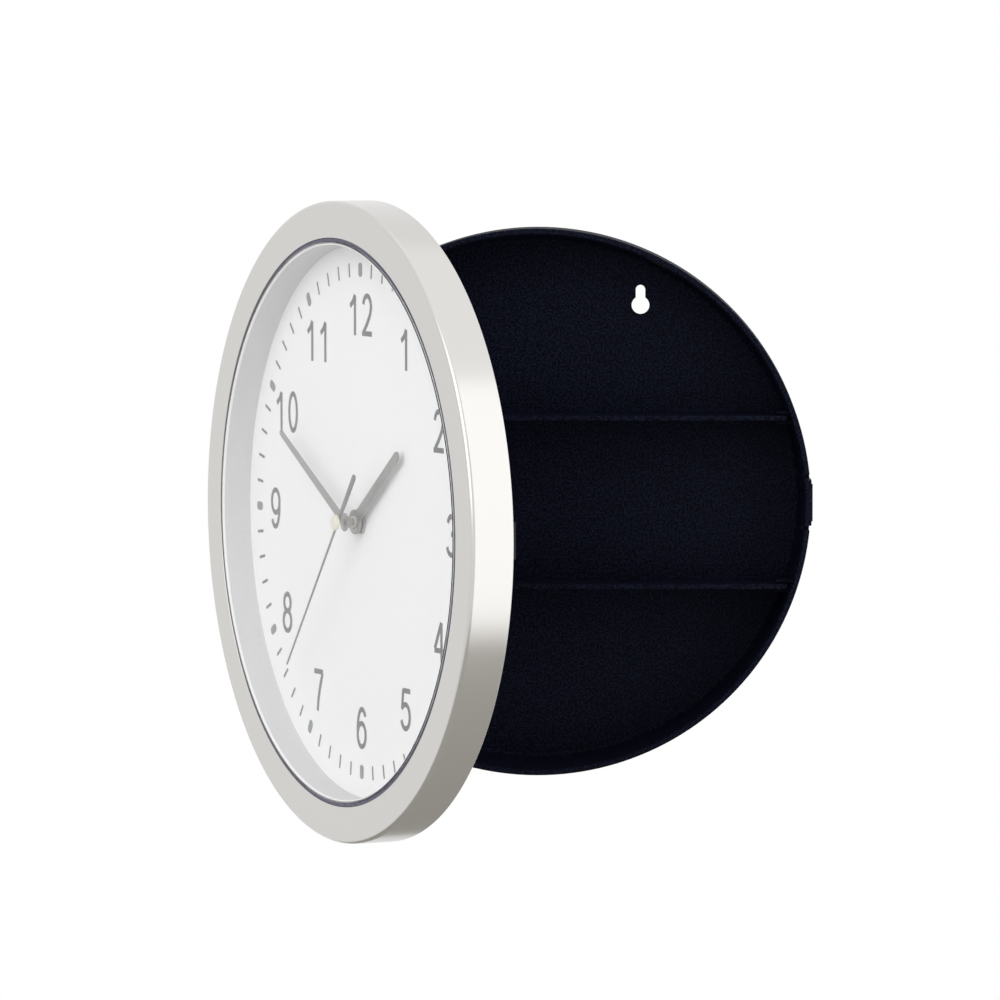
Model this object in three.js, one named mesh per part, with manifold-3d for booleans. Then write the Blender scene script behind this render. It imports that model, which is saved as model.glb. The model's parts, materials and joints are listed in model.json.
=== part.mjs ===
// A wall clock with a safe behind it. A shallow round box hangs on the wall with two shelves inside,
// and the whole clock is its door: a ring, a lens, a dial and a quartz movement, hinged at nine o'clock
// and held shut by a snap tongue at three o'clock. The clock is drawn half open.
// Millimetres, X to the right, Y into the wall, Z up. The origin is the centre of the box's back face.
// Inside the door Y is depth again, and its zero is the clock's back edge.
import * as THREE from "three";
import { mergeVertices } from "three/addons/utils/BufferGeometryUtils.js";
import Module from "manifold-3d";

// Fits that every piece shares
const SEAT_GAP = 0.3; // left between two pieces that touch
const CUT_OVERRUN = 1; // how far a cutter runs past the face it opens
const WELD = 1e-4; // vertices closer than this are one

// The clock's radius drives the rest. Its back overhangs the box all round
const CLOCK_RADIUS = 125;
const CLOCK_OVERHANG = 13.7;

// The box
const BOX_DEPTH = 30.5;
const BOX_WALL = 2.3;
const BOX_BACK = 2.5;
const BOX_DRAFT = 2; // how much the inside narrows from rim to back
const BOX_FILLET = 2; // between the inside wall and the back
const BOX_EDGE = 1.5; // rounding of the outside back edge
const RIM_CHAMFER = 0.5;

// Snap tongue, cut free of the box wall by two slits
const TONGUE_WIDTH = 18.6;
const TONGUE_LENGTH = 12;
const TONGUE_SLIT = 2.2;
const TONGUE_PROUD = 0.2; // the flat pad stands this far off the round wall
const SNAP_HEIGHT = 0.5;
const SNAP_LENGTH = 1.6;
const SNAP_SETBACK = 1.6;

// Keyhole slots in the box's back, which hang it on two screws
const KEYHOLE_X = 42;
const KEYHOLE_INSET = 32.1; // below the top of the box
const KEYHOLE_RADIUS = 3.65;
const KEYHOLE_SLOT = 3.9; // width of the slot above the round part
const KEYHOLE_RISE = 8.3; // from the round part's centre to the slot's top

// Shelves and the grooves that hold their ends
const SHELF_SPACING = 68.6; // between the two mid planes
const SHELF_THICKNESS = 2;
const SHELF_SETBACK = 2;
const SHELF_END_GAP = 0.5;
const SHELF_CORNER = 3;
const RAIL_THICKNESS = 1.2;
const RAIL_REACH = 4.5;
const RAIL_SETBACK = 5; // behind the shelf's front edge

// Hinge
const HINGE_OFFSET = 2; // pin axis outside the box wall
const KNUCKLE_RADIUS = 3;
const PIN_RADIUS = 1.5;
const PIN_HEAD_RADIUS = 2.4;
const PIN_HEAD = 1;
const DOOR_KNUCKLE = 24; // length of the middle knuckle
const BOX_KNUCKLE = 12; // length of each outer knuckle
const KNUCKLE_GAP = 0.4;
const HINGE_CLEARANCE = 0.5;
const DOOR_OPEN_DEGREES = 62.6; // as drawn, from closed
const DOOR_GAP = 0.4; // between the closed clock and the box's rim

// Clock ring
const CLOCK_DEPTH = 17.4;
const RING_FACE_WIDTH = 15;
const RING_WALL = 2.2;
const RING_FACE = 2;
const RING_EDGE = 1.5;

// Lens
const LENS_THICKNESS = 1.5;
const LENS_RISE = 2.7; // height of the dome's middle over its edge
const LENS_PROUD = 0.3; // the dome's edge over the ring's face
const LENS_GAP = 0.5;
const LENS_FLANGE = 4;

// Reflector, the white wall between lens and dial
const REFLECTOR_WALL = 1.4;
const REFLECTOR_FLANGE = 1.2;
const REFLECTOR_TAPER = 0.6;

// Dial
const DIAL_DEPTH = 12; // from the ring's face to the dial's face
const DIAL_THICKNESS = 1.2;
const DIAL_MARGIN = 2; // the dial's radius over the opening's

// Back cover
const COVER_THICKNESS = 2;
const COVER_INSET = 0.2;
const COVER_GAP = 0.5;
const COVER_RIB = 2;
const WINDOW_GAP = 0.6;
const SCREW_BOSS = 3.2;
const SCREW_SHANK = 1.2;
const SCREW_LENGTH = 8;
const SCREW_HEAD_RADIUS = 2.6;
const SCREW_HEAD = 1.4;
const SCREW_SLOT = 0.7;
const SCREW_SLOT_SHARE = 0.7; // of the head's width
const CATCH_THICKNESS = 2;
const CATCH_WIDTH = 14;
const CATCH_LENGTH = 6;
const CATCH_RIDGE = 0.7;

// Quartz movement
const MOVEMENT_SIZE = 56;
const MOVEMENT_DEPTH = 16;
const MOVEMENT_WALL = 1.4;
const MOVEMENT_CORNER = 4;
const MOVEMENT_LID = 1.2;
const WASHER_THICKNESS = 0.6;
const WASHER_RADIUS = 9;
const POST_RADIUS = 3.6;
const POST_FRONT_DEPTH = 10.7; // where the threaded post ends, below the ring's face
const NUT_FLATS = 9;
const NUT_SIDES = 6;
const NUT_CORNER_SHARE = 1 / Math.sqrt(3); // a corner's radius over the width across flats
const NUT_THICKNESS = 0.8;

// Battery and its contacts
const CELL_RADIUS = 7.2;
const CELL_NUB_RADIUS = 2.6;
const CELL_NUB = 1.2;
const BAY_FLOOR = 0.8;
const BAY_PARTITION = 1.2;
const CONTACT_THICKNESS = 0.4;
const CONTACT_WIDTH = 9;
const CONTACT_DIMPLE = 0.7;

// Arbors and pipes on the clock's axis, from the middle out
const ARBOR_RADIUS = 0.5;
const PIVOT_DEPTH = 0.8;
const CANNON_RADIUS = 1.2;
const HOUR_PIPE_RADIUS = 2.4;
const RUNNING_GAP = 0.3;

// Gear teeth
const WHEEL_FACE = 0.8;
const PINION_FACE = 1.2;
const LAYER_GAP = 0.6; // between one wheel and the next along the axis
const ADDENDUM_SHARE = 0.7; // of the module
const DEDENDUM_SHARE = 1.25; // of the module
const TOOTH_TIP_SHARE = 0.08; // half a tooth's width at its tip, of the pitch

// Tooth counts
const ROTOR_PINION_TEETH = 8;
const STEP_WHEEL_TEETH = 48;
const STEP_PINION_TEETH = 8;
const SECONDS_WHEEL_TEETH = 40;
const SECONDS_PINION_TEETH = 8;
const THIRD_WHEEL_TEETH = 60;
const THIRD_PINION_TEETH = 8;
const MINUTE_WHEEL_TEETH = 64;
const MINUTE_PINION_TEETH = 10;
const MOTION_WHEEL_TEETH = 30;
const MOTION_PINION_TEETH = 8;
const HOUR_WHEEL_TEETH = 32;

// Modules, and where each arbor stands round the clock's axis
const MINUTE_MODULE = 0.28;
const STEP_MODULE = 0.42;
const ROTOR_MODULE = 0.3;
const MOTION_MODULE = 0.52;
const THIRD_ANGLE = THREE.MathUtils.degToRad(60);
const STEP_ANGLE = THREE.MathUtils.degToRad(-5);
const ROTOR_ANGLE = THREE.MathUtils.degToRad(20);
const MOTION_ANGLE = THREE.MathUtils.degToRad(180);

// Motor
const MAGNET_RADIUS = 3;
const MAGNET_LENGTH = 2.5;
const STATOR_THICKNESS = 1;
const STATOR_GAP = 0.6;
const STATOR_LEG = 2.5;
const STATOR_SPAN = 14.5;
const STATOR_BASE = 12;
const STATOR_MARGIN = 4.6; // from the legs' tops to the case's top wall
const COIL_RADIUS = 3.2;
const COIL_CORE_RADIUS = 1;
const COIL_DROP = 3; // the coil's axis below the legs' tops
const POST_PEG_RADIUS = 1;
const BOARD_WIDTH = 20;
const BOARD_HEIGHT = 12;
const BOARD_THICKNESS = 1;
const BOARD_MARGIN = 1.5;
const KNOB_RADIUS = 4.5;
const KNOB_HEIGHT = 2.6;
const KNOB_RIBS = 20;
const KNOB_RIB_DEPTH = 0.4;
const KNOB_SOCKET = 1.4;

// Hands: depths below the ring's face, lengths and widths
const HAND_THICKNESS = 0.5;
const HOUR_HAND_DEPTH = 9.2;
const HOUR_HAND_LENGTH = 51.5;
const HOUR_HAND_ROOT = 5;
const HOUR_HAND_TIP = 3.6;
const HOUR_HUB_RADIUS = 4.8;
const HOUR_HUB_SKIRT = 0.7;
const MINUTE_HAND_DEPTH = 5;
const MINUTE_HAND_LENGTH = 69.5;
const MINUTE_HAND_ROOT = 3.7;
const MINUTE_HAND_TIP = 2.3;
const MINUTE_HUB_RADIUS = 3.6;
const MINUTE_HUB_COLLAR = 1.2;
const SECOND_HAND_DEPTH = 2.2;
const SECOND_HAND_LENGTH = 79;
const SECOND_HAND_ROOT = 1.1;
const SECOND_HAND_TIP = 0.6;
const SECOND_TAIL_LENGTH = 23;
const SECOND_TAIL_ROOT = 2;
const SECOND_TAIL_TIP = 2.8;
const SECOND_BOSS_RADIUS = 1.6;
const SECOND_BOSS = 1.1;
const SECOND_CAP_RADIUS = 3.3;
const SECOND_CAP_HEIGHT = 1.6;
const SECOND_CAP_WALL = 0.6;

// The time shown, 1:49:37, as shares of a turn from twelve o'clock
const HOUR_TURN_SHARE = 0.1522;
const MINUTE_TURN_SHARE = 0.8268;
const SECOND_TURN_SHARE = 0.61;

// Facets
const RING_SEGMENTS = 60;
const ROUND_SEGMENTS = 24;
const SMALL_SEGMENTS = 12;
const ARC_STEPS = 2;
const DOME_STEPS = 3;

// Places worked out from the sizes
const BOX_RADIUS = CLOCK_RADIUS - CLOCK_OVERHANG;
const OPENING_RADIUS = CLOCK_RADIUS - RING_FACE_WIDTH;
const HINGE_X = BOX_RADIUS + HINGE_OFFSET;
const KEYHOLE_Z = BOX_RADIUS - KEYHOLE_INSET;
const HALF_SHELF = SHELF_SPACING / 2;
const HALF_MOVEMENT = MOVEMENT_SIZE / 2;
const MOVEMENT_FRONT =
  inDoor(DIAL_DEPTH + DIAL_THICKNESS + WASHER_THICKNESS) + 2 * SEAT_GAP;
const MOVEMENT_BACK = MOVEMENT_FRONT + MOVEMENT_DEPTH;
const TRAIN_FRONT = MOVEMENT_FRONT + MOVEMENT_WALL;
const TRAIN_BACK = MOVEMENT_BACK - MOVEMENT_LID;
const BAY_TOP =
  -HALF_MOVEMENT + MOVEMENT_WALL + 2 * CELL_RADIUS + 2 * SEAT_GAP;
const TRAIN_BOTTOM = BAY_TOP + BAY_PARTITION;

// Centre distances: the minute wheel's arbor and the steps from it share the clock's axis
const THIRD_DISTANCE = centreDistance(
  THIRD_PINION_TEETH,
  MINUTE_WHEEL_TEETH,
  MINUTE_MODULE,
);
const THIRD_MODULE =
  (2 * THIRD_DISTANCE) / (SECONDS_PINION_TEETH + THIRD_WHEEL_TEETH);
const STEP_DISTANCE = centreDistance(
  STEP_PINION_TEETH,
  SECONDS_WHEEL_TEETH,
  STEP_MODULE,
);
const ROTOR_DISTANCE = centreDistance(
  ROTOR_PINION_TEETH,
  STEP_WHEEL_TEETH,
  ROTOR_MODULE,
);
const MOTION_DISTANCE = centreDistance(
  MINUTE_PINION_TEETH,
  MOTION_WHEEL_TEETH,
  MOTION_MODULE,
);
const HOUR_MODULE =
  (2 * MOTION_DISTANCE) / (MOTION_PINION_TEETH + HOUR_WHEEL_TEETH);
const AXIS = new THREE.Vector2(0, 0);
const THIRD_AT = polar(AXIS, THIRD_DISTANCE, THIRD_ANGLE);
const STEP_AT = polar(AXIS, STEP_DISTANCE, STEP_ANGLE);
const ROTOR_AT = polar(STEP_AT, ROTOR_DISTANCE, ROTOR_ANGLE);
const MOTION_AT = polar(AXIS, MOTION_DISTANCE, MOTION_ANGLE);

// Layers of the train, each the front face of a wheel, from the dial side to the back
const HOUR_LAYER = TRAIN_FRONT + LAYER_GAP;
const MOTION_LAYER = HOUR_LAYER + PINION_FACE + LAYER_GAP;
const MINUTE_LAYER = MOTION_LAYER + PINION_FACE + LAYER_GAP;
const THIRD_LAYER = MINUTE_LAYER + PINION_FACE + LAYER_GAP;
const SECONDS_LAYER = THIRD_LAYER + PINION_FACE + LAYER_GAP;
const STEP_LAYER = SECONDS_LAYER + PINION_FACE + LAYER_GAP;
const MAGNET_LAYER = HOUR_LAYER + PINION_FACE;
const STATOR_LAYER = MAGNET_LAYER + (MAGNET_LENGTH - STATOR_THICKNESS) / 2;

const wasm = await Module();
wasm.setup();

// Where a depth below the ring's face lies along the door's Y.
function inDoor(depth) {
  return depth - CLOCK_DEPTH;
}

function centreDistance(teethA, teethB, module) {
  return (module * (teethA + teethB)) / 2;
}

function polar(from, distance, angle) {
  return new THREE.Vector2(
    from.x + distance * Math.cos(angle),
    from.y + distance * Math.sin(angle),
  );
}

// A closed geometry as a solid that can be joined and cut.
function solidOf(geometry) {
  const bare = new THREE.BufferGeometry();
  bare.setAttribute("position", geometry.getAttribute("position"));
  if (geometry.index) bare.setIndex(geometry.index);
  const welded = mergeVertices(bare, WELD);
  const corners = welded.index.array;
  const triangles = [];
  for (let i = 0; i < corners.length; i += 3) {
    const [a, b, c] = [corners[i], corners[i + 1], corners[i + 2]];
    if (a !== b && b !== c && c !== a) triangles.push(a, b, c);
  }
  return new wasm.Manifold(
    new wasm.Mesh({
      numProp: 3,
      vertProperties: new Float32Array(welded.attributes.position.array),
      triVerts: new Uint32Array(triangles),
    }),
  );
}

// The finished solid as a named mesh of its own material.
function meshOf(name, solid, look) {
  const data = solid.getMesh();
  const geometry = new THREE.BufferGeometry();
  geometry.setAttribute(
    "position",
    new THREE.BufferAttribute(data.vertProperties, 3),
  );
  geometry.setIndex(new THREE.BufferAttribute(data.triVerts, 1));
  geometry.computeVertexNormals();
  const mesh = new THREE.Mesh(geometry, new THREE.MeshStandardMaterial(look));
  mesh.name = name;
  return mesh;
}

function joined(...solids) {
  return solids.reduce((whole, next) => whole.add(next));
}

function cut(body, ...cutters) {
  return cutters.reduce((whole, next) => whole.subtract(next), body);
}

// A profile of [radius, y] points turned round the Y axis. It closes on itself or on the axis.
function revolved(profile, segments = RING_SEGMENTS) {
  const points = profile.map(([r, y]) => new THREE.Vector2(r, y));
  if (THREE.ShapeUtils.area(points) < 0) points.reverse();
  const first = points[0];
  const onAxis = points.filter((p) => p.x === 0).length === 2;
  if (onAxis) {
    // start on the axis, so that the profile runs out and comes back to it
    while (!(points[0].x === 0 && points[points.length - 1].x === 0)) {
      points.push(points.shift());
    }
  } else {
    points.push(first.clone());
  }
  return solidOf(new THREE.LatheGeometry(points, segments));
}

// A flat outline in X and Z, filled from one depth to another.
function plate(shape, front, back, curveSegments = ARC_STEPS) {
  const geometry = new THREE.ExtrudeGeometry(shape, {
    depth: back - front,
    bevelEnabled: false,
    curveSegments,
  });
  geometry.rotateX(Math.PI / 2);
  geometry.translate(0, back, 0);
  return solidOf(geometry);
}

// A round bar along Y at a place in X and Z.
function rod(at, radius, front, back, segments = SMALL_SEGMENTS) {
  const geometry = new THREE.CylinderGeometry(
    radius,
    radius,
    back - front,
    segments,
  );
  geometry.translate(at.x, (front + back) / 2, at.y);
  return solidOf(geometry);
}

// A round bar along Z at a place in X and Y.
function upright(x, y, radius, low, high, segments = SMALL_SEGMENTS) {
  const geometry = new THREE.CylinderGeometry(
    radius,
    radius,
    high - low,
    segments,
  );
  geometry.rotateX(Math.PI / 2);
  geometry.translate(x, y, (low + high) / 2);
  return solidOf(geometry);
}

// A round bar along X at a place in Y and Z.
function level(y, z, radius, left, right, segments = SMALL_SEGMENTS) {
  const geometry = new THREE.CylinderGeometry(
    radius,
    radius,
    right - left,
    segments,
  );
  geometry.rotateZ(Math.PI / 2);
  geometry.translate((left + right) / 2, y, z);
  return solidOf(geometry);
}

// A block between two corners.
function block([x0, y0, z0], [x1, y1, z1]) {
  const geometry = new THREE.BoxGeometry(x1 - x0, y1 - y0, z1 - z0);
  geometry.translate((x0 + x1) / 2, (y0 + y1) / 2, (z0 + z1) / 2);
  return solidOf(geometry);
}

// Points on a quarter circle from one angle to another, for a rounded corner of a profile.
function cornerArc(centreR, centreY, radius, fromDegrees, toDegrees) {
  const points = [];
  for (let i = 0; i <= ARC_STEPS; i++) {
    const angle = THREE.MathUtils.degToRad(
      fromDegrees + ((toDegrees - fromDegrees) * i) / ARC_STEPS,
    );
    points.push([
      centreR + radius * Math.cos(angle),
      centreY + radius * Math.sin(angle),
    ]);
  }
  return points;
}

function roundedSquare(half, corner) {
  const shape = new THREE.Shape();
  const inner = half - corner;
  shape.absarc(inner, inner, corner, 0, Math.PI / 2);
  shape.absarc(-inner, inner, corner, Math.PI / 2, Math.PI);
  shape.absarc(-inner, -inner, corner, Math.PI, (3 * Math.PI) / 2);
  shape.absarc(inner, -inner, corner, (3 * Math.PI) / 2, 2 * Math.PI);
  return shape;
}

// The box: a turned tray with knuckles, a snap tongue, shelf grooves and two keyholes.
function keyhole(x) {
  const shape = new THREE.Shape();
  const half = KEYHOLE_SLOT / 2;
  const neck = Math.asin(half / KEYHOLE_RADIUS);
  const start = Math.PI / 2 + neck;
  const end = (5 * Math.PI) / 2 - neck;
  shape.absarc(x, KEYHOLE_Z, KEYHOLE_RADIUS, start, end);
  shape.absarc(x, KEYHOLE_Z + KEYHOLE_RISE - half, half, 0, Math.PI);
  return plate(shape, -BOX_BACK - CUT_OVERRUN, CUT_OVERRUN, SMALL_SEGMENTS / 2);
}

function boxCavity() {
  const rim = BOX_RADIUS - BOX_WALL;
  const back = rim - BOX_DRAFT;
  const fillet = cornerArc(
    back - BOX_FILLET,
    -BOX_BACK - BOX_FILLET,
    BOX_FILLET,
    0,
    90,
  );
  const slope = (CUT_OVERRUN * BOX_DRAFT) / (BOX_DEPTH - BOX_BACK);
  return revolved([
    [0, -BOX_DEPTH - CUT_OVERRUN],
    [rim + slope, -BOX_DEPTH - CUT_OVERRUN],
    ...fillet,
    [0, -BOX_BACK],
  ]);
}

function shelfGrooves() {
  const rails = [];
  const reach = BOX_RADIUS - BOX_WALL;
  const front = -BOX_DEPTH + SHELF_SETBACK + RAIL_SETBACK;
  for (const side of [-1, 1]) {
    for (const shelf of [-HALF_SHELF, HALF_SHELF]) {
      const halfChord = Math.sqrt(reach ** 2 - shelf ** 2);
      const inner = side * (halfChord - BOX_DRAFT - RAIL_REACH);
      const outer = side * (halfChord + BOX_WALL / 2);
      for (const over of [-1, 1]) {
        const near = shelf + over * (SHELF_THICKNESS / 2 + SEAT_GAP);
        const far = near + over * RAIL_THICKNESS;
        rails.push(
          block(
            [Math.min(inner, outer), front, Math.min(near, far)],
            [Math.max(inner, outer), -BOX_BACK / 2, Math.max(near, far)],
          ),
        );
      }
    }
  }
  return joined(...rails);
}

function boxShell() {
  const rimY = -BOX_DEPTH;
  const body = revolved([
    [0, 0],
    ...cornerArc(BOX_RADIUS - BOX_EDGE, -BOX_EDGE, BOX_EDGE, 90, 0),
    [BOX_RADIUS, rimY + RIM_CHAMFER],
    [BOX_RADIUS - RIM_CHAMFER, rimY],
    [0, rimY],
  ]);
  const halfTongue = TONGUE_WIDTH / 2;
  const padX = BOX_RADIUS + TONGUE_PROUD;
  const tongueBack = rimY + TONGUE_LENGTH;
  const pad = block(
    [BOX_RADIUS - BOX_WALL, rimY, -halfTongue],
    [padX, tongueBack, halfTongue],
  );
  const snapFront = rimY + SNAP_SETBACK;
  const snap = block(
    [BOX_RADIUS - BOX_WALL, snapFront, -halfTongue + SNAP_LENGTH],
    [padX + SNAP_HEIGHT, snapFront + SNAP_LENGTH, halfTongue - SNAP_LENGTH],
  );
  const arms = [];
  const bores = [];
  for (const side of [-1, 1]) {
    const inner = side * (DOOR_KNUCKLE / 2 + KNUCKLE_GAP);
    const outer = inner + side * BOX_KNUCKLE;
    const [low, high] = [Math.min(inner, outer), Math.max(inner, outer)];
    const root = Math.sqrt((BOX_RADIUS - BOX_WALL / 2) ** 2 - high ** 2);
    arms.push(
      upright(-HINGE_X, rimY, KNUCKLE_RADIUS, low, high, ROUND_SEGMENTS / 2),
      block([-HINGE_X, rimY, low], [-root, rimY + KNUCKLE_RADIUS, high]),
    );
    const slit = side * (halfTongue + TONGUE_SLIT / 2);
    bores.push(
      block(
        [
          BOX_RADIUS - 2 * BOX_WALL,
          rimY - CUT_OVERRUN,
          slit - TONGUE_SLIT / 2,
        ],
        [padX + CUT_OVERRUN, tongueBack, slit + TONGUE_SLIT / 2],
      ),
    );
    bores.push(keyhole(side * KEYHOLE_X));
  }
  const reach = DOOR_KNUCKLE / 2 + KNUCKLE_GAP;
  bores.push(
    upright(
      -HINGE_X,
      rimY,
      KNUCKLE_RADIUS + HINGE_CLEARANCE,
      -reach,
      reach,
      ROUND_SEGMENTS / 2,
    ),
    upright(
      -HINGE_X,
      rimY,
      PIN_RADIUS + SEAT_GAP,
      -2 * reach - BOX_KNUCKLE,
      2 * reach + BOX_KNUCKLE,
    ),
  );
  const hollow = cut(joined(body, pad, snap, ...arms), boxCavity());
  return cut(joined(hollow, shelfGrooves()), ...bores);
}

// A shelf runs from wall to wall at its own height, and narrows with the wall's draft.
function shelf(height) {
  const edge = Math.abs(height) + SHELF_THICKNESS / 2;
  const front = -BOX_DEPTH + SHELF_SETBACK;
  const back = -BOX_BACK - SEAT_GAP;
  const rim = BOX_RADIUS - BOX_WALL;
  const slope = BOX_DRAFT / (BOX_DEPTH - BOX_BACK);
  const halfAt = (y) => {
    const radius = rim - slope * (y + BOX_DEPTH);
    return Math.sqrt(radius ** 2 - edge ** 2) - SHELF_END_GAP;
  };
  const [wide, narrow] = [halfAt(front), halfAt(back - BOX_FILLET)];
  const tail = narrow - BOX_FILLET;
  const shape = new THREE.Shape();
  shape.moveTo(-tail, back);
  shape.lineTo(-narrow, back - BOX_FILLET);
  shape.lineTo(-wide, front + SHELF_CORNER);
  shape.quadraticCurveTo(-wide, front, -wide + SHELF_CORNER, front);
  shape.lineTo(wide - SHELF_CORNER, front);
  shape.quadraticCurveTo(wide, front, wide, front + SHELF_CORNER);
  shape.lineTo(narrow, back - BOX_FILLET);
  shape.lineTo(tail, back);
  const geometry = new THREE.ExtrudeGeometry(shape, {
    depth: SHELF_THICKNESS,
    bevelEnabled: false,
    curveSegments: ARC_STEPS,
  });
  geometry.translate(0, 0, height - SHELF_THICKNESS / 2);
  return solidOf(geometry);
}

function hingePin() {
  const end = DOOR_KNUCKLE / 2 + KNUCKLE_GAP + BOX_KNUCKLE;
  const shaft = upright(
    -HINGE_X,
    -BOX_DEPTH,
    PIN_RADIUS,
    -end,
    end + SEAT_GAP + PIN_HEAD / 2,
  );
  const head = upright(
    -HINGE_X,
    -BOX_DEPTH,
    PIN_HEAD_RADIUS,
    end + SEAT_GAP,
    end + SEAT_GAP + PIN_HEAD,
  );
  return joined(shaft, head);
}

// The ring: a face, a rounded edge and a side wall, with four screw bosses behind the face.
const LIP_BACK = inDoor(RING_FACE);
const LENS_FRONT = LIP_BACK + SEAT_GAP;
const LENS_BACK = LENS_FRONT + LENS_THICKNESS;
const REFLECTOR_FRONT = LENS_BACK + SEAT_GAP;
const DIAL_FRONT = inDoor(DIAL_DEPTH);
const DIAL_BACK = DIAL_FRONT + DIAL_THICKNESS;
const COVER_BACK = -COVER_INSET;
const COVER_FRONT = COVER_BACK - COVER_THICKNESS;
const FLANGE_RADIUS = OPENING_RADIUS + LENS_FLANGE;
const SCREW_CIRCLE = (FLANGE_RADIUS + CLOCK_RADIUS - RING_WALL) / 2;

function screwPlaces() {
  return [1, 3, 5, 7].map((eighth) =>
    polar(AXIS, SCREW_CIRCLE, (eighth * Math.PI) / 4),
  );
}

function ring() {
  const face = inDoor(0);
  const body = revolved([
    [CLOCK_RADIUS, 0],
    ...cornerArc(
      CLOCK_RADIUS - RING_EDGE,
      face + RING_EDGE,
      RING_EDGE,
      0,
      -90,
    ),
    [OPENING_RADIUS, face],
    [OPENING_RADIUS, LIP_BACK],
    [CLOCK_RADIUS - RING_WALL, LIP_BACK],
    [CLOCK_RADIUS - RING_WALL, 0],
  ]);
  const bossBack = COVER_FRONT - SEAT_GAP;
  const boreFront = COVER_BACK + SEAT_GAP - SCREW_LENGTH - SEAT_GAP;
  const places = screwPlaces();
  const bosses = places.map((at) =>
    rod(at, SCREW_BOSS, LIP_BACK - RING_FACE / 2, bossBack),
  );
  const holes = places.map((at) =>
    rod(at, SCREW_SHANK + SEAT_GAP, boreFront, bossBack + CUT_OVERRUN),
  );
  return cut(joined(body, ...bosses), ...holes);
}

// The lens: a flange behind the ring's lip and a shallow dome that fills the opening.
function lens() {
  const edge = OPENING_RADIUS - LENS_GAP;
  const top = inDoor(-LENS_PROUD);
  const dome = (radius, base) => {
    const points = [];
    for (let i = 0; i <= DOME_STEPS; i++) {
      const share = i / DOME_STEPS;
      points.push([radius * share, base - LENS_RISE * (1 - share ** 2)]);
    }
    return points;
  };
  return revolved([
    ...dome(edge, top),
    [edge, LENS_FRONT],
    [FLANGE_RADIUS, LENS_FRONT],
    [FLANGE_RADIUS, LENS_BACK],
    [edge - LENS_THICKNESS, LENS_BACK],
    ...dome(edge - LENS_THICKNESS, top + LENS_THICKNESS).reverse(),
  ]);
}

function reflector() {
  const inner = OPENING_RADIUS - LENS_GAP / 2;
  const back = DIAL_FRONT - SEAT_GAP;
  const flangeBack = REFLECTOR_FRONT + REFLECTOR_FLANGE;
  return revolved([
    [inner, REFLECTOR_FRONT],
    [FLANGE_RADIUS, REFLECTOR_FRONT],
    [FLANGE_RADIUS, flangeBack],
    [inner + REFLECTOR_WALL, flangeBack],
    [inner - REFLECTOR_TAPER + REFLECTOR_WALL, back],
    [inner - REFLECTOR_TAPER, back],
  ]);
}

function dialPlate() {
  const hole = POST_RADIUS + SEAT_GAP;
  return revolved([
    [hole, DIAL_FRONT],
    [OPENING_RADIUS + DIAL_MARGIN, DIAL_FRONT],
    [OPENING_RADIUS + DIAL_MARGIN, DIAL_BACK],
    [hole, DIAL_BACK],
  ]);
}

// The cover closes the clock's back, holds the dial and carries the middle knuckle and the catch.
function backCover() {
  const radius = CLOCK_RADIUS - RING_WALL - COVER_GAP;
  const ribRadius = OPENING_RADIUS - REFLECTOR_TAPER;
  const disc = revolved([
    [0, COVER_BACK],
    [radius, COVER_BACK],
    [radius, COVER_FRONT],
    [ribRadius, COVER_FRONT],
    [ribRadius, DIAL_BACK + SEAT_GAP],
    [ribRadius - COVER_RIB, DIAL_BACK + SEAT_GAP],
    [ribRadius - COVER_RIB, COVER_FRONT],
    [0, COVER_FRONT],
  ]);
  const knuckle = upright(
    -HINGE_X,
    DOOR_GAP,
    KNUCKLE_RADIUS,
    -DOOR_KNUCKLE / 2,
    DOOR_KNUCKLE / 2,
    ROUND_SEGMENTS / 2,
  );
  const catchInner =
    BOX_RADIUS + TONGUE_PROUD + SNAP_HEIGHT + SEAT_GAP + CATCH_RIDGE;
  const catchEnd = COVER_BACK + CATCH_LENGTH;
  const hook = block(
    [catchInner, COVER_FRONT, -CATCH_WIDTH / 2],
    [catchInner + CATCH_THICKNESS, catchEnd, CATCH_WIDTH / 2],
  );
  const ridge = block(
    [catchInner - CATCH_RIDGE, catchEnd - SNAP_LENGTH, -CATCH_WIDTH / 2],
    [catchInner + CATCH_RIDGE, catchEnd, CATCH_WIDTH / 2],
  );
  const [cutFront, cutBack] = [
    COVER_FRONT - CUT_OVERRUN,
    COVER_BACK + CUT_OVERRUN,
  ];
  const half = HALF_MOVEMENT + WINDOW_GAP;
  const openings = [
    plate(
      roundedSquare(half, MOVEMENT_CORNER + WINDOW_GAP),
      cutFront,
      cutBack,
    ),
    upright(
      -HINGE_X,
      DOOR_GAP,
      PIN_RADIUS + SEAT_GAP,
      -DOOR_KNUCKLE,
      DOOR_KNUCKLE,
    ),
  ];
  const swing = KNUCKLE_RADIUS + HINGE_CLEARANCE;
  for (const side of [-1, 1]) {
    const near = side * (DOOR_KNUCKLE / 2);
    const far = near + side * (BOX_KNUCKLE + 2 * KNUCKLE_GAP + PIN_HEAD * 2);
    openings.push(
      block(
        [-HINGE_X - swing, cutFront, Math.min(near, far)],
        [-HINGE_X + swing, cutBack, Math.max(near, far)],
      ),
    );
  }
  for (const at of screwPlaces()) {
    openings.push(rod(at, SCREW_SHANK + SEAT_GAP, cutFront, cutBack));
  }
  return cut(joined(disc, knuckle, hook, ridge), ...openings);
}

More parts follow.
